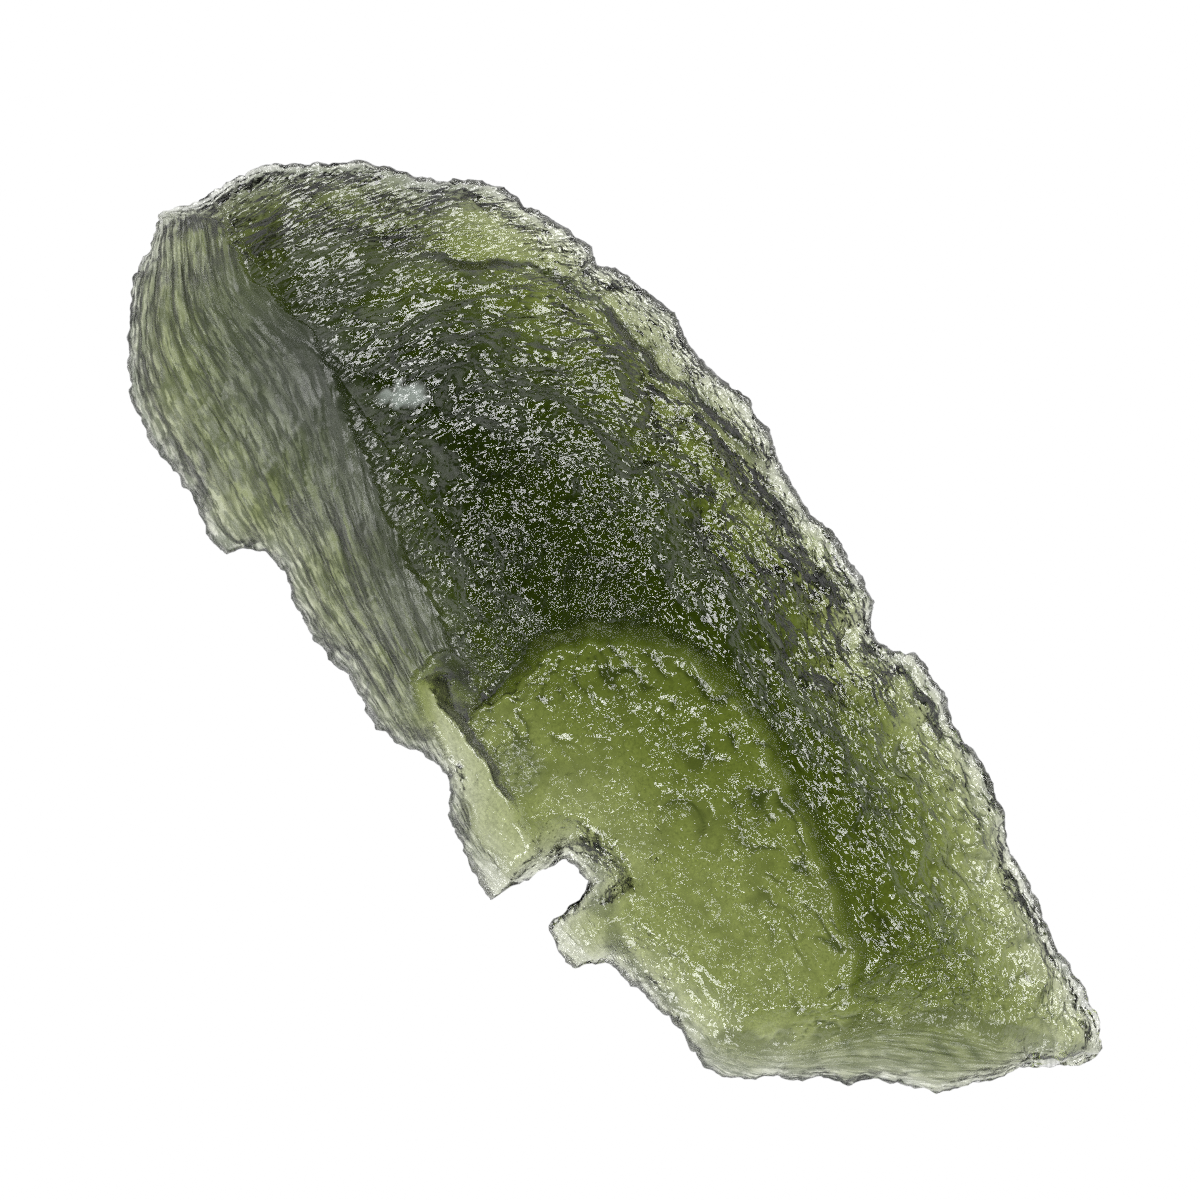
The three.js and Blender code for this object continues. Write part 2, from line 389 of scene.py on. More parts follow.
@dataclass(frozen=True)
class Outline:
    """The stone's outline seen from above, and the smooth run of its thin rims, in millimetres.

    The outline's rows are x, y from the thick end to the pointed tip. A rim's rows are x, y and
    height, and the broad surfaces follow them in place of the ragged outline.
    """

    left: Array = rows(
        (-22.4, -1.8), (-21.7, -2.9), (-21.4, -4.0), (-20.6, -4.9), (-19.0, -6.4), (-18.2, -7.0),
        (-17.0, -7.3), (-15.3, -7.6), (-14.0, -7.7), (-12.7, -8.2), (-11.8, -8.2), (-11.5, -7.5),
        (-11.0, -7.1), (-9.9, -7.0), (-9.2, -7.4), (-7.5, -7.9), (-5.8, -7.8), (-3.6, -8.3),
        (-2.6, -8.1), (-1.9, -7.7), (-0.7, -7.6), (0.1, -8.1), (0.5, -8.5), (2.0, -9.0),
        (3.7, -9.5), (3.85, -8.7), (4.0, -7.9), (4.2, -7.1), (4.4, -6.4), (5.0, -6.3),
        (5.5, -6.4), (5.65, -6.8), (5.75, -7.7), (5.85, -8.6), (6.3, -8.7), (6.7, -9.0),
        (7.5, -8.8), (8.1, -7.8), (9.6, -7.6), (11.7, -7.5), (13.2, -7.7), (13.9, -7.5),
        (14.7, -6.8), (15.2, -6.0), (15.8, -5.7), (16.3, -4.9), (17.2, -4.3), (17.8, -3.4),
        (18.5, -2.8), (19.1, -2.5), (19.7, -1.9), (20.6, -0.1), (21.0, 1.0), (21.6, 1.6),
        (22.2, 2.1), (22.4, 3.3),
    )
    right: Array = rows(
        (-22.4, -1.8), (-22.2, -1.2), (-21.8, -0.4), (-21.4, 1.5), (-21.0, 2.5), (-20.4, 3.1),
        (-19.0, 4.8), (-17.7, 5.8), (-17.3, 5.8), (-16.0, 7.2), (-15.0, 7.9), (-13.2, 8.4),
        (-11.4, 8.8), (-10.6, 8.6), (-9.6, 9.2), (-7.5, 9.5), (-6.0, 9.1), (-4.9, 9.1),
        (-3.5, 9.4), (-2.1, 9.2), (-0.6, 8.6), (1.1, 8.3), (2.0, 8.5), (3.3, 8.3), (5.0, 7.9),
        (5.4, 7.3), (5.9, 7.1), (6.7, 7.2), (7.2, 7.8), (8.9, 7.7), (9.7, 7.2), (12.0, 6.9),
        (13.7, 6.3), (14.8, 5.6), (17.0, 5.1), (18.1, 4.6), (20.3, 4.2), (21.3, 3.9), (22.4, 3.3),
    )
    left_rim: Array = rows(
        (-22.4, -1.8, 3.6), (-21.4, -4.2, 3.4), (-19.4, -6.4, 3.2), (-16.5, -7.5, 3.1),
        (-11.0, -7.9, 3.0), (-4.0, -8.1, 2.9), (3.0, -8.6, 2.6), (9.0, -8.0, 2.3),
        (13.6, -7.4, 2.1), (16.4, -5.2, 2.1), (19.4, -2.3, 2.2), (22.4, 3.3, 2.4),
    )
    right_rim: Array = rows(
        (-22.4, -1.8, 3.6), (-21.4, 1.5, 3.4), (-19.2, 4.7, 3.3), (-16.0, 7.2, 3.3),
        (-12.0, 8.7, 3.5), (-7.0, 9.4, 3.7), (-1.0, 8.9, 3.6), (5.0, 7.8, 3.3),
        (11.0, 7.1, 2.8), (17.0, 5.2, 2.4), (22.4, 3.3, 2.4),
    )
    edge_radius: float = 0.14
    edge_slope: float = 0.85

    def side(self, points: Array, x: Array) -> Array:
        """Return the y of one side of the outline at x, straight from point to point."""
        return np.interp(x, points[:, 0], points[:, 1])

    def stations(self, count: int) -> Array:
        """Return the x of count + 1 stations from end to end.

        Args:
            count: number of cells along the stone.

        Returns:
            places spread evenly along the summed length of the two sides, so that the blunt end,
            the notch and the tab get as many as they need.
        """
        fine = np.linspace(self.left[0, 0], self.left[-1, 0], 20001)
        steps = sum(
            np.hypot(np.diff(fine), np.diff(self.side(points, fine)))
            for points in (self.left, self.right)
        )
        reached = np.concatenate([[0.0], np.cumsum(steps)])
        return np.interp(np.linspace(0.0, reached[-1], count + 1), reached, fine)

    def rims(self, x: Array) -> Rims:
        """Return both smooth rims at x."""
        return Rims(*(smooth_line(rim, k, x) for rim in (self.left_rim, self.right_rim) for k in (1, 2)))

    def rim_height(self, place: Plan) -> Array:
        """Return the rim height beside each place.

        Args:
            place: places in plan.

        Returns:
            the two rims' heights, shared by how near each rim is.
        """
        rims = self.rims(place.x)
        width = np.maximum(rims.right_y - rims.left_y, 1e-6)
        return lerp(rims.left_z, rims.right_z, np.clip((place.y - rims.left_y) / width, 0.0, 1.0))

    def rim_rise(self, distance: Array) -> Array:
        """Return how far the skin stands from the rim line at a distance from it.

        Args:
            distance: distance in plan from the outline.

        Returns:
            a quarter circle of the edge radius, then a straight slope.
        """
        round_part = np.minimum(distance, self.edge_radius)
        arc = np.sqrt(round_part * (2.0 * self.edge_radius - round_part))
        return arc + self.edge_slope * (distance - round_part)

    def distance(self, place: Plan) -> Array:
        """Return the distance in plan from each place to the outline."""
        return place.away_from_line(np.concatenate([self.left, self.right[:-1][::-1]]))


@dataclass(frozen=True)
class UpperFace:
    """The broad shape of the upper face: the lowest of the landforms' surfaces.

    Rows are x, y and height of the line that each surface hangs from, in millimetres.
    """

    outline: Outline
    apex: Array = rows(
        (-22.4, -1.2, 4.6), (-20.5, -0.4, 7.4), (-18.5, 0.3, 9.0), (-13.0, 0.2, 10.1),
        (-8.0, -1.0, 9.8), (-4.2, -0.6, 9.0), (-1.0, 1.4, 8.3), (1.7, 3.2, 7.8), (6.8, 2.6, 7.2),
        (11.4, 1.5, 6.5), (14.8, 0.2, 5.9), (18.0, 1.6, 4.5), (22.4, 3.3, 2.9),
    )
    crest: Array = rows(
        (-22.4, -1.5, 4.4), (-21.6, 0.0, 6.6), (-18.5, -0.9, 8.6), (-14.8, -0.6, 9.9),
        (-12.2, -1.5, 10.0), (-8.0, -3.2, 9.3), (-4.2, -4.3, 8.0), (-0.1, -5.6, 6.2), (3.5, -7.0, 4.8),
        (4.4, -6.0, 4.5), (5.5, -6.0, 4.4), (6.4, -6.6, 4.4), (9.4, -7.1, 4.4), (12.4, -7.0, 4.6),
        (13.6, -5.9, 4.9), (14.8, -4.6, 5.2), (15.7, -3.0, 5.3), (16.5, -1.3, 5.2),
        (18.6, 0.7, 4.4), (20.7, 1.9, 3.6), (22.4, 3.3, 2.9),
    )
    crown_line: Array = rows(
        (-22.4, -1.5, 4.2), (-21.6, 0.3, 5.8), (-18.5, -0.6, 7.6), (-17.1, 0.1, 8.0),
        (-16.1, 2.7, 6.6), (-15.2, 4.2, 5.7), (-13.8, 5.2, 5.1), (-12.1, 7.0, 4.6),
        (-10.4, 7.6, 4.5), (-8.3, 7.9, 4.4), (-6.4, 7.8, 4.3), (-5.0, 8.2, 4.3), (-3.0, 8.25, 4.3),
        (-1.2, 8.4, 4.4), (1.5, 9.0, 4.4), (22.4, 9.4, 4.4),
    )
    bowl_wall: Array = rows(
        (-1.6, -14.0), (-1.5, -4.4), (-1.3, -1.6), (-0.1, 0.3), (1.7, 1.5), (3.6, 1.7),
        (5.9, 1.6), (8.2, 0.9), (10.8, 0.1), (13.6, -1.0), (15.4, -2.2), (16.0, -3.6),
        (16.0, -14.0),
    )
    window_outline: Array = rows(
        (-3.2, -5.9), (-1.0, -6.2), (1.4, -6.6), (3.3, -7.15), (3.6, -7.9), (3.0, -8.45),
        (0.6, -7.55), (-1.4, -6.85), (-3.2, -5.9),
    )
    back_rim_step: float = 0.7
    back_left_share: float = 0.6
    back_shape: Pair = (1.3, 0.3)
    bowl_centre: Triple = (6.5, -3.8, 4.0)
    bowl_half_size: Pair = (8.0, 5.0)
    bowl_rise: Pair = (0.5, 0.6)
    wall_slope: float = 4.5
    crown_step_slope: float = 3.0
    flank_power: float = 1.15
    crown_power: float = 0.8
    window_height: float = 3.35
    window_middle: float = -7.4
    window_tilt: float = 0.12
    window_step_slope: float = 2.6
    tab_reach: tuple[Pair, Pair] = ((2.0, 3.5), (12.0, 10.5))
    edge_pushes: tuple[Pair, ...] = ((0.16, 1.1), (0.06, 0.4))
    edge_wear: tuple[float, ...] = (0.25, 0.1, 0.12, 0.08)
    rim_wear: float = 0.15

    def back(self, place: Plan) -> Array:
        """Return the height of the back: highest along its apex line, falling to both sides.

        Args:
            place: places in plan.

        Returns:
            apex height less a drop that grows as the square of the share of the way to the rim, less
            some of its cube on the right.
        """
        apex_y, apex_z = smooth_line(self.apex, 1, place.x), smooth_line(self.apex, 2, place.x)
        rims = self.outline.rims(place.x)
        right, left = rims.way_right(apex_y, place.y), rims.way_left(apex_y, place.y)
        square, cube = self.back_shape
        falling_right = lerp(apex_z, rims.right_z + self.back_rim_step, right**2 * (square - cube * right))
        falling_left = lerp(apex_z, self.back_left_share * apex_z, left**2)
        return np.where(place.y > apex_y, falling_right, falling_left)

    def flank(self, place: Plan) -> Array:
        """Return the height of the flank, which rises from the left rim to the crest and past it.

        Args:
            place: places in plan.

        Returns:
            rim height plus the rise to the crest, times a power of the share of the way up.
        """
        rims = self.outline.rims(place.x)
        crest_y, crest_z = smooth_line(self.crest, 1, place.x), smooth_line(self.crest, 2, place.x)
        up = np.maximum((place.y - rims.left_y) / np.maximum(crest_y - rims.left_y, 0.3), 0.0)
        return lerp(rims.left_z + self.outline.edge_radius, crest_z, up**self.flank_power)

    def tab_share(self, place: Plan) -> Array:
        """Return how far each place lies beside the notch and the tab, 0 to 1."""
        return between(*self.tab_reach, place.x)

    def wall_distance(self, place: Plan) -> Array:
        """Return the distance to the bowl's wall line.

        Args:
            place: places in plan.

        Returns:
            the distance, positive outside the bowl and negative inside.
        """
        away = place.away_from_line(self.bowl_wall)
        below = place.y < np.interp(place.x, self.bowl_wall[:, 0], self.bowl_wall[:, 1])
        within = below & (place.x > self.bowl_wall[0, 0]) & (place.x < self.bowl_wall[-1, 0])
        return np.where(within, -away, away)

    def bowl(self, place: Plan) -> Array:
        """Return the height of the bowl: a shallow dish with a steep wall round it.

        Args:
            place: places in plan.

        Returns:
            a dish that rises with the square of both distances from its centre, plus a straight
            slope past the wall line, which waves make uneven.
        """
        cx, cy, cz = self.bowl_centre
        dish = cz + self.bowl_rise[0] * ((place.x - cx) / self.bowl_half_size[0]) ** 2
        dish = dish + self.bowl_rise[1] * ((place.y - cy) / self.bowl_half_size[1]) ** 2
        beyond = self.wall_distance(place) + 0.22 * place.waves(9, 1.3)
        return dish + self.wall_slope * np.maximum(beyond, 0.0)

    def crown(self, place: Plan) -> Array:
        """Return the height of the terrace outside the crown line, a step below the back.

        Args:
            place: places in plan.

        Returns:
            a terrace that rises from the rim to the crown line, and a steep slope inside the line.
        """
        line_y, line_z = smooth_line(self.crown_line, 1, place.x), smooth_line(self.crown_line, 2, place.x)
        rims = self.outline.rims(place.x)
        up = np.clip((rims.right_y - place.y) / np.maximum(rims.right_y - line_y, 0.3), 0.0, 1.0)
        terrace = lerp(rims.right_z + self.outline.edge_radius, line_z, up**self.crown_power)
        step = self.crown_step_slope * place.away_from_line(self.crown_line)
        return np.where(place.y > line_y, terrace, terrace + step)

    def window(self, place: Plan) -> Array:
        """Return the height of the flat break on the fin.

        Args:
            place: places in plan.

        Returns:
            a plane tilted across the stone, with a steep step up all round its outline.
        """
        flat = self.window_height + self.window_tilt * (place.y - self.window_middle)
        away = np.where(place.inside(self.window_outline), 0.0, place.away_from_line(self.window_outline))
        return flat + self.window_step_slope * away

    def heights(self, place: Plan) -> Array:
        """Return the height of every landform's surface, one row for each landform.

        Args:
            place: places in plan.

        Returns:
            the heights, with the places pushed about by waves so that no edge runs smooth.
        """
        push_x, push_y = (
            sum(reach * place.waves(seed + k, size) for k, (reach, size) in enumerate(self.edge_pushes))
            for seed in (5, 7)
        )
        pushed = Plan(place.x + push_x, place.y + push_y)
        surfaces = (self.back, self.bowl, self.crown, self.flank, self.window)
        return np.stack([surface(pushed) for surface in surfaces])

    def height(self, heights: Array, place: Plan, distance: Array) -> Array:
        """Return the broad height of the upper face.

        Args:
            heights: the landforms' heights.
            place: places in plan.
            distance: distance to the outline.

        Returns:
            the worn minimum of the landforms and of the rounded rim.
        """
        z = heights[Landform.BACK]
        for cut, width in zip(heights[Landform.BOWL:], self.edge_wear):
            z = worn_min(z, cut, width)
        rim = self.outline.rim_height(place) + self.outline.rim_rise(distance)
        return worn_min(z, rim, self.rim_wear)


@dataclass(frozen=True)
class Underside:
    """The broad shape of the underside: a shallow keel with a level spot to rest on."""

    outline: Outline
    keel: Array = rows(
        (-22.4, -1.8, 2.6), (-18.5, -0.5, 1.2), (-13.0, 0.2, 0.5), (-6.5, 0.3, -0.15),
        (-1.0, 0.4, -0.35), (3.5, 0.4, -0.2), (8.0, 0.6, 0.5), (13.0, 0.5, 1.1),
        (18.0, 1.5, 1.5), (22.4, 3.3, 2.0),
    )
    keel_power: float = 1.35
    edge_fall: float = 0.6
    least_thickness: float = 0.4

    def height(self, place: Plan, distance: Array, top: Array) -> Array:
        """Return the broad height of the underside.

        Args:
            place: places in plan.
            distance: distance to the outline.
            top: height of the upper face.

        Returns:
            a keel rising to the rims as a power of the share of the way out, never nearer the
            upper face than the least thickness, and never below the resting surface.
        """
        rims = self.outline.rims(place.x)
        keel_y, keel_z = smooth_line(self.keel, 1, place.x), smooth_line(self.keel, 2, place.x)
        out = np.maximum(rims.way_left(keel_y, place.y), rims.way_right(keel_y, place.y))
        rim_z = np.where(place.y > keel_y, rims.right_z, rims.left_z) - self.outline.edge_radius
        keel = lerp(keel_z, rim_z, out**self.keel_power)
        edge = self.outline.rim_height(place) - self.edge_fall * self.outline.rim_rise(distance)
        thinnest = top - np.minimum(self.least_thickness, 2.0 * distance)
        return np.maximum(np.minimum(np.maximum(keel, edge), thinnest), 0.0)


@dataclass(frozen=True)
class Flow:
    """Where the etching runs: plans whose coordinates are along and across the flow."""

    face: UpperFace
    axis_start: Pair = (-0.5, -2.5)
    axis_end: Pair = (14.0, -4.2)
    turn_radius: float = 11.0
    thick_end: float = -10.8
    flank_width: float = 6.5
    flank_closing: float = 0.13

    def round_bowl(self, place: Plan) -> Plan:
        """Return the flow that rings the bowl and so crosses the thick end.

        Args:
            place: places in plan.

        Returns:
            the place along, and the distance from, the bowl's axis; past the axis's start the
            first turns to an angle times the turn radius.
        """
        (ax, ay), (bx, by) = self.axis_start, self.axis_end
        length = math.hypot(bx - ax, by - ay)
        ux, uy = (bx - ax) / length, (by - ay) / length
        along_axis = (place.x - ax) * ux + (place.y - ay) * uy
        off_axis = (place.y - ay) * ux - (place.x - ax) * uy
        clamped = np.clip(along_axis, 0.0, length)
        beyond = along_axis - clamped
        across = np.hypot(beyond, off_axis)
        turned = np.arctan2(beyond, np.maximum(np.abs(off_axis), 1e-9)) * self.turn_radius
        return Plan(clamped + turned, across * np.where(off_axis < 0.0, -1.0, 1.0))

    def down_flank(self, place: Plan) -> Plan:
        """Return the flow along the left flank, closing up towards the thick end.

        Args:
            place: places in plan.

        Returns:
            x, and a width times the share of the way from the left rim up to the crest, plus a
            little for each millimetre from the thick end.
        """
        left_y = self.face.outline.rims(place.x).left_y
        up = (place.y - left_y) / np.maximum(smooth_line(self.face.crest, 1, place.x) - left_y, 0.5)
        from_end = place.x - self.face.outline.left[0, 0]
        return Plan(place.x, self.flank_width * up + self.flank_closing * from_end)

    def along_rim(self, place: Plan) -> Plan:
        """Return the flow along the right rim.

        Args:
            place: places in plan.

        Returns:
            x and the distance in from the rim, but the flow round the bowl at the thick end.
        """
        turned = self.round_bowl(place)
        thick_end = place.x < self.thick_end
        inwards = self.face.outline.rims(place.x).right_y - place.y
        return Plan(np.where(thick_end, turned.x, place.x), np.where(thick_end, turned.y, inwards))


@dataclass(frozen=True)
class Relief:
    """How far the skin stands out at each place, in millimetres, and its painted shade, 0 to 1."""

    height: Array
    crease_shade: Array


@dataclass(frozen=True)
class Etching:
    """The relief of the skin for each landform and for the underside.

    A hollow's or a mound's row is x, y, radius and depth or height.
    """

    flow: Flow
    back_layers: tuple[Layer, ...] = (
        Layer(Pattern.WAVES, 21, 0.18, 3.2, 2.1),
        Layer(Pattern.CUPS, 22, 0.28, 2.0, 1.1),
        Layer(Pattern.CUPS, 23, 0.20, 1.1, 0.62),
        Layer(Pattern.CUPS, 25, 0.05, 0.55, 0.34),
    )
    back_cracks: Layer = Layer(Pattern.CRACKS, 24, 1.0, 1.1, 0.5, (0.35,))
    hollows: tuple[tuple[float, float, float, float], ...] = (
        (-6.7, 0.4, 1.3, 0.45), (-2.2, 0.2, 0.9, 0.35), (-9.0, 4.6, 1.2, 0.2),
        (-4.5, 5.0, 1.4, 0.25),
    )
    bowl_layers: tuple[Layer, ...] = (
        Layer(Pattern.WAVES, 41, 0.05, 2.4, 2.4),
        Layer(Pattern.MOUNDS, 43, 0.08, 0.95, 0.95, (0.5,)),
        Layer(Pattern.MOUNDS, 47, 0.04, 0.5, 0.5, (0.4,)),
        Layer(Pattern.CUPS, 44, 0.012, 0.6, 0.55),
    )
    wall_cups: Layer = Layer(Pattern.CUPS, 45, 0.05, 1.1, 0.5)
    scarps: Layer = Layer(Pattern.RIDGES, 46, 1.0, 2.6, 0.8)
    scarp_depth: float = 0.07
    mounds: tuple[tuple[float, float, float, float], ...] = (
        (-1.2, -3.6, 0.42, 0.22), (-0.3, -2.8, 0.45, 0.18), (0.9, -1.4, 0.6, 0.16),
        (2.0, -0.6, 0.5, 0.14),
    )
    knoll_centre: Pair = (0.9, -5.5)
    knoll_radius: float = 1.15
    knoll_height: float = 0.16
    knoll_cups: Layer = Layer(Pattern.CUPS, 52, 0.07, 0.5, 0.42)
    knoll_cracks: Layer = Layer(Pattern.CRACKS, 50, 1.0, 0.42, 0.42, (0.4,))
    arc_radii: Pair = (0.85, 1.05)
    arc_facing: Pair = (-0.86, 0.5)
    arc_width: float = 0.07
    pit_centre: Pair = (6.2, -2.6)
    pit_radius: float = 0.9
    pit_grooves: tuple[Pair, ...] = ((0.72, 0.7), (0.98, 1.0), (1.3, 0.6))
    groove_width: float = 0.12
    groove_depth: float = 0.1
    crown_layers: tuple[Layer, ...] = (
        Layer(Pattern.WAVES, 61, 0.12, 2.6, 2.0),
        Layer(Pattern.CUPS, 62, 0.12, 1.4, 0.9),
        Layer(Pattern.CUPS, 64, 0.09, 0.75, 0.45),
        Layer(Pattern.CUPS, 65, 0.03, 0.42, 0.28),
    )
    crown_cracks: Layer = Layer(Pattern.CRACKS, 63, 1.0, 1.8, 0.42, (0.4,))
    thick_bark: Layer = Layer(Pattern.STEPS, 71, 1.0, 5.0, 1.1, (0.4,))
    thin_bark: Layer = Layer(Pattern.STEPS, 72, 1.0, 1.6, 0.5, (0.4,))
    bark_cups: Layer = Layer(Pattern.CUPS, 73, 0.03, 0.7, 0.3)
    bark_depths: Pair = (0.14, 0.08)
    rim_chip_size: float = 0.7
    rim_chip_tilt: float = 0.07
    rim_chip_cups: Layer = Layer(Pattern.CUPS, 82, 0.14, 0.4, 0.4)
    under_layers: tuple[Layer, ...] = (
        Layer(Pattern.WAVES, 92, 0.14, 3.0, 3.0),
        Layer(Pattern.CUPS, 93, 0.20, 1.5, 1.3),
        Layer(Pattern.CUPS, 94, 0.08, 0.8, 0.7),
    )

    def back(self, place: Plan) -> Relief:
        """Return the relief of the back.

        Args:
            place: places in plan.

        Returns:
            layers along the flow, less bell-shaped hollows and cracks that waves break up.
        """
        way = self.flow.round_bowl(place).wandering(11, 1.6)
        height = pile(self.back_layers, way)
        for x, y, radius, depth in self.hollows:
            height = height - depth * np.exp(-((place.away_from((x, y)) / radius) ** 2))
        crack = self.back_cracks.over(way) * ease(-0.25, 0.25, way.waves(26, 1.6, 1.0))
        # painted shade in the cracks, which are also cut a little way in
        return Relief(height - 0.06 * crack, crack)

    def bowl(self, place: Plan) -> Relief:
        """Return the relief of the bowl.

        Args:
            place: places in plan.

        Returns:
            swells and small mounds, scarps and cups that ring it and fade away from the wall, four
            listed mounds, the knoll and the ringed pit.
        """
        ring = self.flow.round_bowl(place).wandering(33, 1.0)
        near_wall = ease(4.0, 1.0, -self.flow.face.wall_distance(place))
        scarp = ease(0.3, 0.75, self.scarps.over(ring))
        scarp *= (0.4 + 0.6 * near_wall) * ease(-0.4, 0.0, ring.waves(48, 1.0, 0.8))
        height = pile(self.bowl_layers, place.wandering(31, 1.2))
        height = height + near_wall * self.wall_cups.over(ring) - self.scarp_depth * scarp
        for x, y, radius, rise in self.mounds:
            height += rise * np.clip(1.0 - (place.away_from((x, y)) / radius) ** 2, 0.0, 1.0) ** 0.7
        # painted shade along the scarps
        return self._ringed_pit(place, self._knoll(place, Relief(height, scarp)))

    def knoll_distance(self, place: Plan) -> Array:
        """Return the distance to the middle of the knoll, made ragged by waves."""
        return place.away_from(self.knoll_centre) + 0.12 * place.waves(49, 0.5)

    def _knoll(self, place: Plan, around: Relief) -> Relief:
        """Return the relief with the rough knoll beside the window put in.

        Args:
            place: places in plan.
            around: the relief round the knoll.

        Returns:
            a dome with cups and cracks on it, and two arcs cut round its upper left side.
        """
        dx, dy = place.x - self.knoll_centre[0], place.y - self.knoll_centre[1]
        away = self.knoll_distance(place)
        on = ease(self.knoll_radius, 0.75, away)
        crack = self.knoll_cracks.over(place)
        turned = self.arc_facing[0] * dx + self.arc_facing[1] * dy
        facing = ease(0.2, 0.9, turned / np.maximum(np.hypot(dx, dy), 1e-6))
        bells = sum(np.exp(-(((away - radius) / self.arc_width) ** 2)) for radius in self.arc_radii)
        arcs = bells * facing
        dome = self.knoll_height * np.clip(1.0 - (away / self.knoll_radius) ** 2, 0.0, 1.0)
        rough = on * (self.knoll_cups.over(place) - 0.05 * crack)
        # painted shade: half over the whole knoll, full in its cracks and arcs
        shade_with_knoll = np.maximum.reduce([around.crease_shade, on * crack, 0.5 * on, arcs])
        return Relief(around.height + dome + rough - 0.05 * arcs, shade_with_knoll)

    def _ringed_pit(self, place: Plan, around: Relief) -> Relief:
        """Return the relief with the round pit put in: a lens with grooves on one side.

        Args:
            place: places in plan.
            around: the relief round the pit.

        Returns:
            the relief calmed inside the pit, less narrow grooves deepest towards rising y, each
            a bell of the distance from its ring.
        """
        dx, dy = place.x - self.pit_centre[0], place.y - self.pit_centre[1]
        away = np.hypot(dx, dy)
        facing = ease(-0.5, 0.5, (dy - 0.15 * dx) / np.maximum(away, 1e-6))
        groove = sum(
            depth * np.exp(-(((away - radius * self.pit_radius) / self.groove_width) ** 2))
            for radius, depth in self.pit_grooves
        )
        groove = np.minimum(groove, 1.0) * facing
        calm = 1.0 - 0.8 * ease(1.5, 1.1, away / self.pit_radius)
        lens = 0.05 * np.clip(1.0 - (away / self.pit_radius) ** 2, 0.0, 1.0)
        height = around.height * calm + lens - self.groove_depth * groove
        # painted shade in the grooves, calmed inside the pit as the relief is
        return Relief(height, np.maximum(around.crease_shade * calm, groove))

    def crown(self, place: Plan) -> Relief:
        """Return the relief of the crown terrace.

        Args:
            place: places in plan.

        Returns:
            layers along the rim, less long cracks that waves break up.
        """
        way = self.flow.along_rim(place).wandering(51, 1.4)
        crack = self.crown_cracks.over(way) * ease(-0.1, 0.3, way.waves(66, 1.4, 0.8))
        # painted shade in the cracks
        return Relief(pile(self.crown_layers, way) - 0.05 * crack, 0.8 * crack)

    def flank(self, place: Plan) -> Relief:
        """Return the relief of the flank: thin layers that run its length like bark.

        Args:
            place: places in plan.

        Returns:
            thick and thin layers with cups, and painted shade in the dips between layers, but hardly
            any beside the tab.
        """
        way = self.flow.down_flank(place)
        thick, thin = self.thick_bark.over(way), self.thin_bark.over(way)
        height = self.bark_depths[0] * thick + self.bark_depths[1] * thin + self.bark_cups.over(way)
        dashes = ease(0.75, 0.25, thin) * ease(-0.15, 0.2, way.waves(74, 0.9, 0.35))
        crease_shade = np.maximum(0.95 * dashes, 0.85 * ease(0.45, 0.1, thick))
        return Relief(height, crease_shade * (1.0 - 0.9 * self.flow.face.tab_share(place)))

    def window(self, place: Plan) -> Relief:
        """Return the relief of the window: almost flat, with faint ripples along it."""
        return Relief(0.015 * place.waves(76, 1.4, 0.35), np.zeros(place.x.shape))

    def rim_chips(self, place: Plan) -> Array:
        """Return flat facets tilted at random with small cups, as chips leave on a thin edge."""
        tilt = Noise(81).cells(place.x / self.rim_chip_size, place.y / self.rim_chip_size)[2]
        return self.rim_chip_tilt * tilt + self.rim_chip_cups.over(place)

    def underside(self, place: Plan) -> Array:
        """Return the relief of the underside: cups of two sizes with no direction."""
        return pile(self.under_layers, place.wandering(91, 1.5))


@dataclass(frozen=True)
class Site:
    """The upper face as built, from which its finish is worked out.

    Heights and share have one row for each landform. The broad lean is the unit normal before the
    relief is put on, and the lean is the unit normal after.
    """

    place: Plan
    distance: Array
    heights: Array
    share: Array
    # painted shade that the reliefs give, 0 to 1
    crease_shade: Array
    broad_lean: Array
    lean: Array


def landform_shares(heights: Array, blend: float) -> Array:
    """Return each landform's share of each place, blended where two surfaces cross.

    Args:
        heights: the landforms' heights.
        blend: height difference at which a surface counts for a third as much.

    Returns:
        the exponential of each surface's height above the lowest, over the sum of them all.
    """
    nearness = np.exp(-(heights - heights.min(axis=0)) / blend)
    return nearness / nearness.sum(axis=0)


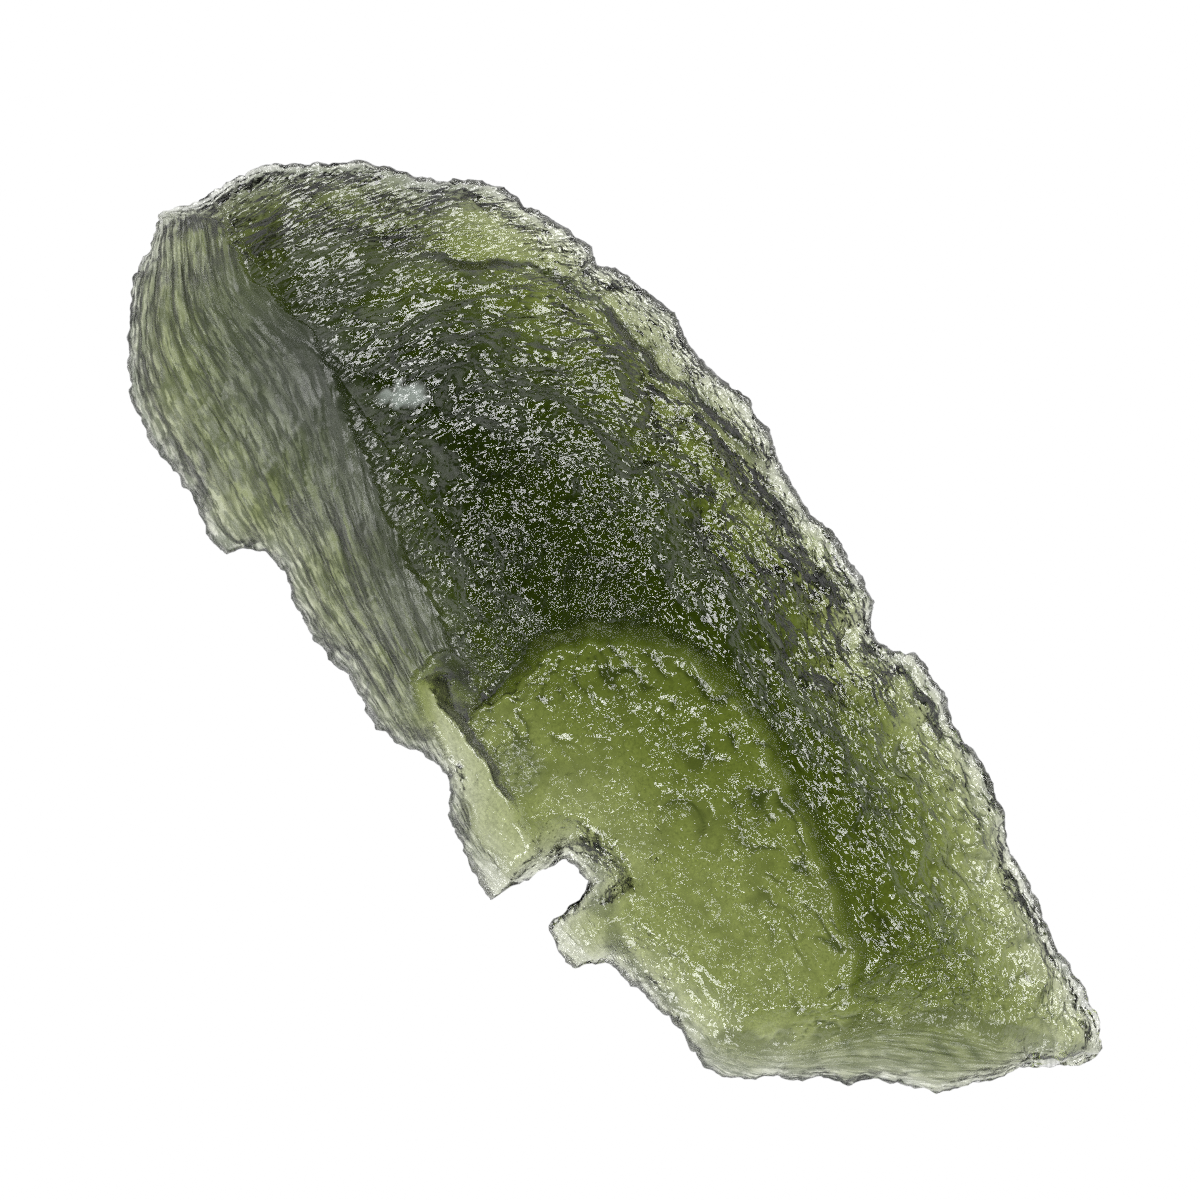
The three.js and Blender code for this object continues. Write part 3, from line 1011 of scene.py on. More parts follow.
@dataclass(frozen=True)
class WeatheringAndPaintedShade:
    """Works out what the glass reads of each place of the upper face, its painted shade as well.

    Tuples with one entry for each landform are in the landforms' order.
    """

    etching: Etching
    flow_cells: tuple[Pair, ...] = ((0.46, 0.2), (0.2, 0.2), (0.36, 0.16), (0.9, 0.28), (0.8, 0.2))
    flow_gap: float = 40.0
    etch_shares: tuple[float, ...] = (1.0, 0.1, 0.9, 1.0, 0.1)
    matte_shares: tuple[float, ...] = (0.0, 0.05, 0.03, 1.0, 0.15)
    matte_blend: float = 0.35
    chip_centre: Pair = (-11.6, 0.4)
    chip_half_size: Pair = (0.72, 0.42)
    # how strong the painted shades are, and where they start and end
    steep_shade: float = 0.6
    steep_turn: Pair = (0.05, 0.25)
    side_shade: float = 0.35
    side_turn: Pair = (0.05, 0.35)
    rim_fade: Pair = (0.1, 0.5)
    crown_shade: float = 0.15
    crown_step_reach: tuple[Pair, Pair] = ((-15.8, -15.0), (-0.6, -2.2))
    crown_step_width: tuple[Pair, Pair] = ((-0.12, 0.02), (0.42, 0.26))
    wall_shade: float = 0.6
    wall_width: Pair = (0.0, 0.3)
    mottle_shade: float = 0.45
    band_shade: float = 0.75
    band_width: Pair = (0.6, 0.35)
    margin_shade: float = 0.45
    margin_width: Pair = (1.2, 0.8)
    margin_reach: tuple[Pair, Pair] = ((-4.6, -3.4), (4.4, 4.0))
    margin_side: Pair = (-4.0, -5.0)
    crest_reach: Pair = (2.6, 0.3)
    ridge_shade: float = 0.8
    ridge_width: Pair = (0.55, 0.2)
    ridge_gap: tuple[Pair, Pair] = ((0.0, -2.0), (4.0, 5.0))
    strip_start: Pair = (13.5, 15.0)
    strip_margin: Pair = (0.3, 0.8)
    thick_end_shade: float = 0.9
    thick_end_start: Pair = (-13.5, -16.0)

    def frost(self, place: Plan) -> Array:
        """Return how far each place belongs to the chipped, whitened patch.

        Args:
            place: places in plan.

        Returns:
            a soft step at the edge of a slanting ellipse that waves make ragged.
        """
        dx, dy = place.x - self.chip_centre[0], place.y - self.chip_centre[1]
        along = (0.67 * dx + 0.74 * dy) / self.chip_half_size[0]
        across = (0.67 * dy - 0.74 * dx) / self.chip_half_size[1]
        ragged = 0.7 * place.waves(121, 0.6) + 0.4 * place.waves(123, 0.3)
        return ease(1.08, 0.94, np.hypot(across, along) + ragged)

    def flow(self, site: Site) -> Array:
        """Return the flow coordinates that the fine cups are drawn on.

        Args:
            site: the upper face.

        Returns:
            the lowest landform's flow over the size of its cells, the landforms' a gap apart.
        """
        place, flow = site.place, self.etching.flow
        ways = (flow.round_bowl(place), place, flow.along_rim(place), flow.down_flank(place), place)
        flows = np.stack([
            np.stack([way.x / length, way.y / width]) + self.flow_gap * landform
            for landform, (way, (length, width)) in enumerate(zip(ways, self.flow_cells))
        ])
        lowest = site.heights.argmin(axis=0)
        return np.moveaxis(np.take_along_axis(flows, lowest[None, None], axis=0)[0], 0, -1)

    def etch(self, site: Site) -> Array:
        """Return how deep the fine cups are.

        Args:
            site: the upper face.

        Returns:
            the landforms' shares in uneven patches, with spots in the bowl, less on the tab.
        """
        place = site.place
        patches = 0.8 + 0.5 * place.waves(131, 2.0) + 0.3 * place.waves(132, 0.8)
        etch = np.tensordot(self.etch_shares, site.share, axes=1) * patches
        spots = place.waves(136, 1.5) + 0.5 * place.waves(137, 0.5)
        etch += 0.5 * site.share[Landform.BOWL] * ease(-0.25, 0.4, spots)
        etch *= 1.0 - 0.6 * self.etching.flow.face.tab_share(place) * site.share[Landform.FLANK]
        return np.maximum(etch, 0.0)

    def matte(self, site: Site) -> Array:
        """Return how dull the skin is.

        Args:
            site: the upper face.

        Returns:
            the landforms' shares, widely blended, and the knoll, less beside the tab.
        """
        shares = landform_shares(site.heights, self.matte_blend)
        knoll = 0.35 * ease(self.etching.knoll_radius, 0.7, self.etching.knoll_distance(site.place))
        matte = np.maximum(np.tensordot(self.matte_shares, shares, axes=1), knoll)
        return matte * (1.0 - 0.8 * self.etching.flow.face.tab_share(site.place))

    def shade(self, site: Site) -> Array:
        """Return the painted shade of the skin: how dark it is made, 0 to 1.

        Args:
            site: the upper face.

        Returns:
            the strongest of all the shades, faded out at the thin rim.
        """
        # painted shade on faces that lean steeply away from the broad shape, on faces turned towards
        # rising y, in creases, over the crown and in the dark bands and spots below
        turned = 1.0 - (site.broad_lean * site.lean).sum(axis=-1)
        aside = (site.lean - site.broad_lean)[..., 1]
        shade = np.maximum.reduce([
            site.crease_shade,
            self.steep_shade * ease(*self.steep_turn, turned),
            self.side_shade * ease(*self.side_turn, aside),
            self.crown_shade * site.share[Landform.CROWN],
            self._crown_step(site), self._bowl(site), self._window(site), self._crest(site),
            self._bottom_strip(site),
        ])
        # painted shade at the thick end of the crown and back
        thick_end = self.thick_end_shade * ease(*self.thick_end_start, site.place.x)
        thick_end = thick_end * (site.share[Landform.CROWN] + 0.5 * site.share[Landform.BACK])
        faded = shade * ease(*self.rim_fade, site.distance)
        return np.maximum(faded, thick_end * ease(0.0, 0.25, site.distance))

    def _crown_step(self, site: Site) -> Array:
        """Return the shade of the step below the crown line.

        Args:
            site: the upper face.

        Returns:
            a narrow ragged band just inside the line.
        """
        line_y = smooth_line(self.etching.flow.face.crown_line, 1, site.place.x)
        past = line_y - site.place.y + 0.16 * site.place.waves(133, 0.5)
        return between(*self.crown_step_width, past) * between(*self.crown_step_reach, site.place.x)

    def _bowl(self, site: Site) -> Array:
        """Return the shade of the bowl.

        Args:
            site: the upper face.

        Returns:
            an even shade on the wall, and cloudy spots on the floor.
        """
        beyond = self.etching.flow.face.wall_distance(site.place)
        wall = self.wall_shade * ease(*self.wall_width, beyond)
        clouds = site.place.waves(139, 1.7) + 0.6 * site.place.waves(140, 0.6)
        return np.maximum(wall, self.mottle_shade * ease(0.0, 0.6, clouds)) * site.share[Landform.BOWL]

    def _window(self, site: Site) -> Array:
        """Return the shade beside the window.

        Args:
            site: the upper face.

        Returns:
            a band along the window's inner side, and the thin margin of the fin outside it.
        """
        place = site.place
        inner_side = self.etching.flow.face.window_outline[:4]
        beside = place.away_from_line(inner_side) + 0.1 * place.waves(134, 0.4)
        margin = self.margin_shade * ease(*self.margin_width, site.distance)
        margin = margin * between(*self.margin_reach, place.x) * ease(*self.margin_side, place.y)
        shade = np.maximum(self.band_shade * ease(*self.band_width, beside), margin)
        return shade * (1.0 - site.share[Landform.WINDOW])

    def _crest(self, site: Site) -> Array:
        """Return the shade of the crest.

        Args:
            site: the upper face.

        Returns:
            a soft shade down the flank from it, and a narrow dark line along it, save where the
            knoll and the window are.
        """
        place = site.place
        away = place.away_from_line(self.etching.flow.face.crest) + 0.5 * place.waves(135, 0.9)
        beside = ease(*self.crest_reach, away) * site.share[Landform.FLANK]
        beside = beside * (0.1 + 0.55 * ease(3.5, 1.5, place.x) + 0.4 * ease(10.0, 13.0, place.x))
        along = np.maximum(*(ease(*end, place.x) for end in self.ridge_gap))
        return np.maximum(beside, self.ridge_shade * ease(*self.ridge_width, away) * along)

    def _bottom_strip(self, site: Site) -> Array:
        """Return the shade of the flank's last strip, before the pointed tip.

        Args:
            site: the upper face.

        Returns:
            streaks made by stretched waves, away from the rim.
        """
        strip = ease(*self.strip_start, site.place.x) * site.share[Landform.FLANK]
        streaks = 0.75 + 0.35 * site.place.waves(138, 0.9, 0.35)
        return strip * ease(*self.strip_margin, site.distance) * streaks


@dataclass(frozen=True)
class Skin:
    """The finished skin: places in millimetres, faces, and what the glass reads of each place."""

    places: Array
    faces: Array
    caps: Array
    flow: Array
    etch: Array
    matte: Array
    shade: Array
    frost: Array


@dataclass(frozen=True)
class SkinMaker:
    """Works out the closed skin as a grid of stations along the stone and rings round it.

    A ring goes over the upper face from the left rim to the right rim, and back underneath. The
    rows of the ragged waves are a seed, a share of the depth and a size.
    """

    outline: Outline = field(default_factory=Outline)
    stations: int = 520
    cells_above: int = 145
    cells_below: int = 44
    crowding: float = 0.35
    landform_blend: float = 0.06
    rim_chip_reach: Pair = (1.0, 0.15)
    smooth_rim: float = 0.2
    ragged_reach: float = 0.35
    ragged_depths: Triple = (0.10, 0.10, 0.16)
    ragged_waves: tuple[tuple[int, float, float], ...] = (
        (101, 1.0, 0.9), (111, 0.9, 0.38), (116, 0.5, 0.2),
    )
    under_cell: float = 0.3
    under_gap: float = 200.0
    under_etch: float = 0.5
    under_matte: float = 0.2
    chip_floor: float = -0.1
    chip_cups: Layer = Layer(Pattern.CUPS, 122, 0.16, 0.4, 0.4)

    def _spread(self, cells: int) -> Plan:
        """Return the plan places of one face's grid, one row for each station.

        Args:
            cells: number of cells across.

        Returns:
            places from the left side to the right, closer together near both.
        """
        x = self.outline.stations(self.stations)[:, None]
        left = self.outline.side(self.outline.left, x)
        right = self.outline.side(self.outline.right, x)
        even = np.linspace(0.0, 1.0, cells + 1)
        crowded = lerp(even, 0.5 - 0.5 * np.cos(math.pi * even), self.crowding)
        y = lerp(left, right, crowded[None, :])
        return Plan(np.broadcast_to(x, y.shape).copy(), y)

    def _lean(self, grid: Array) -> Array:
        """Return the unit normals of a face's grid, pointing up.

        Args:
            grid: places, one row for each station.

        Returns:
            the cross product of the differences along the grid's two ways, over its length.
        """
        normal = np.cross(np.gradient(grid, axis=0), np.gradient(grid, axis=1))
        return normal / np.maximum(np.linalg.norm(normal, axis=-1, keepdims=True), 1e-12)

    def _ragged(self, place: Plan, distance: Array) -> Array:
        """Return how far each place is pushed so that the rim is ragged.

        Args:
            place: places in plan.
            distance: distance to the outline.

        Returns:
            the push along x, y and z: waves of three sizes that fade inwards.
        """
        fade = np.exp(-distance / self.ragged_reach)
        pushes = [
            sum(share * depth * place.waves(seed + axis, size) for seed, share, size in self.ragged_waves)
            for axis, depth in enumerate(self.ragged_depths)
        ]
        return np.stack([fade * push for push in pushes], axis=-1)

    def _raise(self, place: Plan, z: Array, distance: Array, relief: Array) -> Array:
        """Return a face's places after relief and ragged edge.

        Args:
            place: places in plan.
            z: broad height.
            distance: distance to the outline.
            relief: how far to stand up from the broad shape.

        Returns:
            places moved along their normals by the relief, and pushed by the ragged edge.
        """
        grid = np.stack([place.x, place.y, z], axis=-1)
        return grid + self._lean(grid) * relief[..., None] + self._ragged(place, distance)

    def _upper(self) -> dict[str, Array]:
        """Return the upper face.

        Returns:
            its places, raised by the landforms' reliefs, by chips along the rim and by the rough
            floor of the chipped patch, and what the glass reads of each.
        """
        face = UpperFace(self.outline)
        etching = Etching(Flow(face))
        weathering_and_shade = WeatheringAndPaintedShade(etching)
        place = self._spread(self.cells_above)
        distance = self.outline.distance(place)
        heights = face.heights(place)
        z = face.height(heights, place, distance)
        share = landform_shares(heights, self.landform_blend)
        reliefs = (etching.back, etching.bowl, etching.crown, etching.flank, etching.window)
        made = [relief(place) for relief in reliefs]
        relief = sum(part * one.height for part, one in zip(share, made))
        chips = ease(*self.rim_chip_reach, distance) * (1.0 - share[Landform.WINDOW])
        relief = lerp(relief, etching.rim_chips(place), 0.5 * chips)
        frost = weathering_and_shade.frost(place)
        relief = lerp(relief, self.chip_floor + self.chip_cups.over(place), frost)
        places = self._raise(place, z, distance, relief * ease(0.0, self.smooth_rim, distance))
        # painted shade from the reliefs, shared as the landforms are
        crease_shade = sum(part * one.crease_shade for part, one in zip(share, made))
        broad_lean = self._lean(np.stack([place.x, place.y, z], axis=-1))
        site = Site(place, distance, heights, share, crease_shade, broad_lean, self._lean(places))
        return {
            "places": places, "flow": weathering_and_shade.flow(site), "etch": weathering_and_shade.etch(site),
            "matte": weathering_and_shade.matte(site), "shade": weathering_and_shade.shade(site), "frost": frost,
        }

    def _lower(self) -> dict[str, Array]:
        """Return the underside.

        Returns:
            its places, none below the resting surface, and what the glass reads of each.
        """
        face = UpperFace(self.outline)
        place = self._spread(self.cells_below)
        distance = self.outline.distance(place)
        top = face.height(face.heights(place), place, distance)
        z = Underside(self.outline).height(place, distance, top)
        relief = Etching(Flow(face)).underside(place) * ease(0.0, self.smooth_rim, distance)
        places = self._raise(place, z, distance, -relief)
        places[..., 2] = np.maximum(places[..., 2], 0.0)
        none = np.zeros(z.shape)
        return {
            "places": places, "etch": none + self.under_etch, "matte": none + self.under_matte,
            "flow": np.stack([place.x, place.y], axis=-1) / self.under_cell + self.under_gap,
            "shade": none, "frost": none,
        }

    def make(self) -> Skin:
        """Return the whole skin: upper face and underside joined at the rims and both ends.

        Returns:
            rings of places with a single place at each end, quads between the rings, and
            triangles round the two ends.
        """
        upper, lower = self._upper(), self._lower()
        back_under = slice(self.cells_below - 1, 0, -1)

        def ring(part: str) -> Array:
            """Return the rings of both faces, then the two ends.

            Args:
                part: name of what is joined.

            Returns:
                one row for each place, with no place of the rims twice.
            """
            joined = np.concatenate([upper[part], lower[part][:, back_under]], axis=1)[1:-1]
            flat = joined.reshape(-1, *joined.shape[2:])
            return np.concatenate([flat, upper[part][:1, 0], upper[part][-1:, 0]])

        width = self.cells_above + self.cells_below
        rings = self.stations - 1
        index = np.arange(rings * width).reshape(rings, width)
        after = np.roll(index, -1, axis=1)
        faces = np.stack([index[:-1], index[1:], after[1:], after[:-1]], axis=-1)
        start = np.full(width, rings * width)
        caps = np.concatenate([
            np.stack([start, index[0], after[0]], axis=-1),
            np.stack([start + 1, after[-1], index[-1]], axis=-1),
        ])
        return Skin(faces=faces.reshape(-1, 4), caps=caps, **{part: ring(part) for part in upper})


@dataclass(frozen=True)
class Graph:
    """A tree of shader nodes, with short ways to add what a finish needs."""

    tree: bpy.types.NodeTree

    def add(self, kind: str, output: str | int, values: dict, **settings: object) -> Socket:
        """Return one output of a new node.

        Args:
            kind: the node's type, without the words it shares with every shader node.
            output: name or number of the output.
            values: what goes into its inputs, by name or number; an output is linked, and
                anything else is set.
            settings: the node's own properties.

        Returns:
            the output.
        """
        node = self.tree.nodes.new("ShaderNode" + kind)
        for key, value in settings.items():
            setattr(node, key, value)
        for key, value in values.items():
            if isinstance(value, Socket):
                self.tree.links.new(value, node.inputs[key])
            else:
                node.inputs[key].default_value = value
        return node.outputs[output]

    def attribute(self, name: str, output: str = "Fac") -> Socket:
        """Return a value that the mesh stores for each place."""
        return self.add("Attribute", output, {}, attribute_name=name)

    def maths(self, operation: str, *values: Socket | float, use_clamp: bool = False) -> Socket:
        """Return the outcome of a sum on two or three values."""
        return self.add("Math", 0, dict(enumerate(values)), operation=operation, use_clamp=use_clamp)

    def vectors(self, operation: str, *values: Socket | Triple) -> Socket:
        """Return the outcome of a sum on two or three vectors."""
        return self.add("VectorMath", "Vector", dict(enumerate(values)), operation=operation)

    def span(self, value: Socket, before: Pair, after: Pair, shape: str = "LINEAR") -> Socket:
        """Return a value carried from one range to another.

        Args:
            value: the value.
            before: the range it comes from.
            after: the range it goes to.
            shape: how it runs between the ends.

        Returns:
            the carried value, clamped at both ends.
        """
        return self.add("MapRange", "Result", {
            "Value": value, "From Min": before[0], "From Max": before[1], "To Min": after[0],
            "To Max": after[1]}, interpolation_type=shape)

    def mix(self, share: Socket, first: Socket | tuple, second: Socket | tuple) -> Socket:
        """Return the colour a share of the way from the first to the second."""
        return self.add("Mix", 2, {0: share, 6: first, 7: second}, data_type="RGBA")

    def finish(self, surface: Socket, inside: Socket | None = None) -> None:
        """Send the finished surface to the material's output.

        Args:
            surface: the surface's shader.
            inside: the shader of what fills it, if anything does.
        """
        output = self.tree.nodes.new("ShaderNodeOutputMaterial")
        self.tree.links.new(surface, output.inputs["Surface"])
        if inside:
            self.tree.links.new(inside, output.inputs["Volume"])


@dataclass(frozen=True)
class TektiteGlass:
    """Clear olive-green natural glass with an etched skin, glossy on the back, dull on the flank.

    Cups, and the painted shade of bark dashes and crevices, are drawn on the stored flow, in its
    cells; stipple with its dark specks of painted shade, and beads, are in millimetres. A span is
    the range of a pattern's values over which it fades.
    """

    name: str = "tektite_glass"
    ior: float = 1.49
    absorbed_per_mm: Triple = (0.44, 0.38, 0.82)
    glossy_roughness: float = 0.11
    dull_roughness: float = 0.42
    frost_colour: Triple = (0.5, 0.56, 0.52)
    frost_share: float = 0.3
    film_share: float = 0.05
    wander_scale: float = 0.7
    wander_reach: Triple = (1.6, 1.6, 0.0)
    cup_depth: float = 0.062
    cup_power: float = 1.15
    stipple_depth: float = 0.009
    stipple_size: float = 0.1
    stipple_on_cups: float = 0.4
    speck_span: Pair = (0.36, 0.52)
    speck_share: float = 0.45
    bark_cells: Triple = (1.0, 1.8, 1.0)
    bark_span: Pair = (0.46, 0.53)
    bark_share: float = 0.95
    bead_spacing: float = 0.3
    bead_radius: float = 0.3
    bead_height: float = 0.022
    # painted shade colour: what crevices, specks, dashes and the stored shade darken the glass towards
    painted_shade_colour: Triple = (0.1, 0.12, 0.09)
    crevice_width: Pair = (0.08, 0.3)
    crevice_gaps: Pair = (0.38, 0.58)
    crevice_share: float = 0.85

    def _skin(self, graph: Graph) -> tuple[Socket, Socket]:
        """Return the fine relief: long cups on the flow, and stipple and beads all over.

        Args:
            graph: the material's nodes.

        Returns:
            the bumped normal, and the painted shade that its relief gives a place, 0 to 1.
        """
        flow, etch = graph.attribute("flow", "Vector"), graph.attribute("etch")
        wander = graph.add(
            "TexNoise", "Color", {"Vector": flow, "Scale": self.wander_scale, "Detail": 1.0},
            noise_dimensions="2D")
        centred = graph.vectors("SUBTRACT", wander, (0.5, 0.5, 0.5))
        pushed = graph.vectors("MULTIPLY_ADD", centred, self.wander_reach, flow)
        place = graph.add("TexCoord", "Object", {})
        stipple = graph.add("TexNoise", "Fac", {
            "Vector": place, "Scale": 1.0 / (self.stipple_size * MM), "Detail": 1.5,
            "Roughness": 0.6})
        crevice_shade = self._crevice_shade(graph, pushed, wander.node.outputs["Fac"], etch)
        # painted shade: dark specks in the low parts of the stipple
        speck = graph.span(stipple, self.speck_span, (self.speck_share, 0.0), "SMOOTHSTEP")
        dark = graph.maths("MAXIMUM", graph.maths("MAXIMUM", crevice_shade, speck), self._bark(graph, flow))
        return self._bump(graph, pushed, place, stipple, etch), dark

    def _bump(self, graph: Graph, pushed: Socket, place: Socket, stipple: Socket,
              etch: Socket) -> Socket:
        """Return the bumped normal.

        Args:
            graph: the material's nodes.
            pushed: flow coordinates that wander.
            place: place in metres.
            stipple: fine noise.
            etch: how deep the cups are.

        Returns:
            the normal of a height in millimetres: cups as a power of the distance from their
            centres, stipple that is weaker where cups are deep, and beads where there are none.
        """
        cells = graph.add(
            "TexVoronoi", "Distance", {"Vector": pushed, "Scale": 1.0}, voronoi_dimensions="2D")
        cup = graph.maths("MULTIPLY", graph.maths("POWER", cells, self.cup_power), self.cup_depth)
        weakest = self.stipple_on_cups * self.stipple_depth
        grain = graph.span(etch, (0.0, 1.0), (self.stipple_depth, weakest))
        height = graph.maths("MULTIPLY_ADD", stipple, grain, graph.maths("MULTIPLY", cup, etch))
        beads = graph.add(
            "TexVoronoi", "Distance", {"Vector": place, "Scale": 1.0 / (self.bead_spacing * MM)})
        dome = graph.span(beads, (0.0, self.bead_radius), (1.0, 0.0), "SMOOTHSTEP")
        bead_height = graph.span(etch, (0.0, 0.7), (self.bead_height, 0.0))
        height = graph.maths("MULTIPLY_ADD", dome, bead_height, height)
        return graph.add("Bump", "Normal", {"Height": height, "Distance": MM})

    def _crevice_shade(self, graph: Graph, pushed: Socket, wander: Socket, etch: Socket) -> Socket:
        """Return the painted shade in the crevices between cups.

        Args:
            graph: the material's nodes.
            pushed: flow coordinates that wander.
            wander: slow noise that breaks the crevices up.
            etch: how deep the cups are.

        Returns:
            lines along the cups' borders, with gaps, times the depth.
        """
        borders = graph.add(
            "TexVoronoi", "Distance", {"Vector": pushed, "Scale": 1.0}, voronoi_dimensions="2D",
            feature="DISTANCE_TO_EDGE")
        line = graph.span(borders, self.crevice_width, (1.0, 0.0))
        broken = graph.span(wander, self.crevice_gaps, (0.0, 1.0))
        crevice_shade = graph.maths("MULTIPLY", graph.maths("MULTIPLY", line, broken), etch)
        return graph.maths("MULTIPLY", crevice_shade, self.crevice_share, use_clamp=True)

    def _bark(self, graph: Graph, flow: Socket) -> Socket:
        """Return the painted shade of the short dashes along dull skin.

        Args:
            graph: the material's nodes.
            flow: flow coordinates.

        Returns:
            the low parts of stretched noise, times how dull the skin is.
        """
        noise = graph.add("TexNoise", "Fac", {
            "Vector": graph.vectors("MULTIPLY", flow, self.bark_cells), "Scale": 1.0,
            "Detail": 3.0, "Roughness": 0.6}, noise_dimensions="2D")
        dash = graph.span(noise, self.bark_span, (self.bark_share, 0.0), "SMOOTHSTEP")
        return graph.maths("MULTIPLY", dash, graph.attribute("matte"))

    def build(self) -> bpy.types.Material:
        """Return the material.

        Returns:
            a see-through shader with fine relief, dull where the skin is matte and whitened where
            it is frosted, its base colour darkened by painted shade, with plain absorption inside.
        """
        material = bpy.data.materials.new(self.name)
        material.use_nodes = True
        graph = Graph(material.node_tree)
        graph.tree.nodes.clear()
        bump, relief_shade = self._skin(graph)
        matte, frost = graph.attribute("matte"), graph.attribute("frost")
        # painted shade: the base colour, which tints the glass seen through it, goes towards the painted
        # shade colour as far as the darkest of the relief's shade and the stored shade
        dark = graph.maths("MAXIMUM", relief_shade, graph.attribute("shade"))
        shaded = graph.mix(dark, (1.0, 1.0, 1.0, 1.0), (*self.painted_shade_colour, 1.0))
        film = graph.span(matte, (0.0, 1.0), (1.0, 1.0 - self.film_share))
        clear = graph.span(frost, (0.0, 1.0), (1.0, 1.0 - self.frost_share))
        surface = graph.add("BsdfPrincipled", "BSDF", {
            "IOR": self.ior,
            "Normal": bump,
            "Roughness": graph.span(matte, (0.0, 1.0), (self.glossy_roughness, self.dull_roughness)),
            "Transmission Weight": graph.maths("MULTIPLY", clear, film),
            "Base Color": graph.mix(frost, shaded, (*self.frost_colour, 1.0)),
        })
        strongest = max(self.absorbed_per_mm)
        kept = [1.0 - share / strongest for share in self.absorbed_per_mm]
        inside = graph.add(
            "VolumeAbsorption", "Volume", {"Color": (*kept, 1.0), "Density": strongest / MM})
        graph.finish(surface, inside)
        return material


@dataclass(frozen=True)
class Moldavite:
    """The stone itself: its skin, made into a mesh and dressed in glass."""

    maker: SkinMaker = field(default_factory=SkinMaker)
    glass: TektiteGlass = field(default_factory=TektiteGlass)

    def build(self) -> bpy.types.Object:
        """Return the stone's object, riding on the body and standing for its solid.

        Returns:
            one closed mesh in metres, with its object at the origin.
        """
        skin = self.maker.make()
        mesh = bpy.data.meshes.new("moldavite_skin")
        mesh.from_pydata(skin.places * MM, [], [*skin.faces.tolist(), *skin.caps.tolist()])
        mesh.polygons.foreach_set("use_smooth", np.ones(len(mesh.polygons), dtype=bool))
        flow = np.concatenate([skin.flow, np.zeros((len(skin.flow), 1))], axis=1)
        self._store(mesh, "flow", "FLOAT_VECTOR", "vector", flow)
        for name in ("etch", "matte", "shade", "frost"):
            self._store(mesh, name, "FLOAT", "value", getattr(skin, name))
        mesh.validate()
        mesh.update()
        mesh.materials.append(self.glass.build())
        stone = bpy.data.objects.new("moldavite_skin", mesh)
        bpy.context.scene.collection.objects.link(stone)
        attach(stone, BODY)
        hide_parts(NODE)
        return stone

    def _store(self, mesh: bpy.types.Mesh, name: str, kind: str, key: str, values: Array) -> None:
        """Store one value for each place of the mesh, for the glass to read."""
        attribute = mesh.attributes.new(name, kind, "POINT")
        attribute.data.foreach_set(key, values.astype(np.float32).ravel())


@dataclass(frozen=True)
class LightTable:
    """The plain pale surface under the stone, faintly lit from below, in metres."""

    half_size: float = 2.0
    drop: float = 0.00002
    glow: float = 1.0
    colour: Triple = (1.0, 1.0, 1.0)

    def build(self) -> bpy.types.Object:
        """Return the surface.

        Returns:
            one flat square that gives off an even light, a hair below the bottom of the stone.
        """
        mesh = bpy.data.meshes.new("light_table")
        s = self.half_size
        mesh.from_pydata([(-s, -s, 0.0), (s, -s, 0.0), (s, s, 0.0), (-s, s, 0.0)], [], [(0, 1, 2, 3)])
        material = bpy.data.materials.new("pale_surface")
        material.use_nodes = True
        graph = Graph(material.node_tree)
        graph.tree.nodes.clear()
        colour = (*self.colour, 1.0)
        graph.finish(graph.add("Emission", "Emission", {"Color": colour, "Strength": self.glow}))
        mesh.materials.append(material)
        table = bpy.data.objects.new("light_table", mesh)
        table.location.z = -self.drop
        bpy.context.scene.collection.objects.link(table)
        return table


@dataclass(frozen=True)
class SoftLight:
    """A soft box turned to the stone: where it stands, how big and how bright it is.

    The bearing is in degrees as seen in the picture, 0 to its right and 90 to its top. Sizes are in
    metres.
    """

    name: str
    bearing: float
    elevation: float
    width: float
    height: float
    radiance: float
    reach: float = 0.6

    def build(self, picture_turn: float) -> bpy.types.Object:
        """Return the light.

        Args:
            picture_turn: degrees from the picture's right to the stone's X axis.

        Returns:
            an area light whose power is radiance times area times pi.
        """
        light = bpy.data.lights.new(self.name, "AREA")
        light.shape = "RECTANGLE"
        light.size, light.size_y = self.width, self.height
        light.energy = self.radiance * self.width * self.height * math.pi
        around = math.radians(self.bearing + picture_turn)
        up = math.radians(self.elevation)
        away = Vector((math.cos(around) * math.cos(up), math.sin(around) * math.cos(up), math.sin(up)))
        lamp = bpy.data.objects.new(self.name, light)
        lamp.location = away * self.reach
        lamp.rotation_mode = "QUATERNION"
        lamp.rotation_quaternion = away.to_track_quat("Z", "Y")
        lamp.visible_camera = False
        bpy.context.scene.collection.objects.link(lamp)
        return lamp


@dataclass(frozen=True)
class PhotoCamera:
    """A long lens looking straight down, rolled so that the stone lies as in the picture."""

    picture_turn: float = 48.0
    picture_width: float = 42.86
    aim: Pair = (-1.66, 0.68)
    rim_height: float = 3.0
    distance: float = 400.0
    sensor: float = 36.0
    clip: Pair = (0.01, 10.0)

    def build(self) -> bpy.types.Object:
        """Return the camera.

        Returns:
            the scene's camera, set so that the picture's width spans its length at rim height.
        """
        camera = bpy.data.cameras.new("photo_camera")
        camera.sensor_width = self.sensor
        camera.lens = self.sensor * self.distance / self.picture_width
        camera.clip_start, camera.clip_end = self.clip
        turn = math.radians(self.picture_turn)
        right = Vector((math.cos(turn), math.sin(turn), 0.0))
        upwards = Vector((-math.sin(turn), math.cos(turn), 0.0))
        facing = Matrix((right, upwards, Vector((0.0, 0.0, 1.0)))).transposed()
        viewer = bpy.data.objects.new("photo_camera", camera)
        viewer.rotation_mode = "QUATERNION"
        viewer.rotation_quaternion = facing.to_quaternion()
        viewer.location = Vector((*self.aim, self.rim_height + self.distance)) * MM
        bpy.context.scene.collection.objects.link(viewer)
        bpy.context.scene.camera = viewer
        return viewer


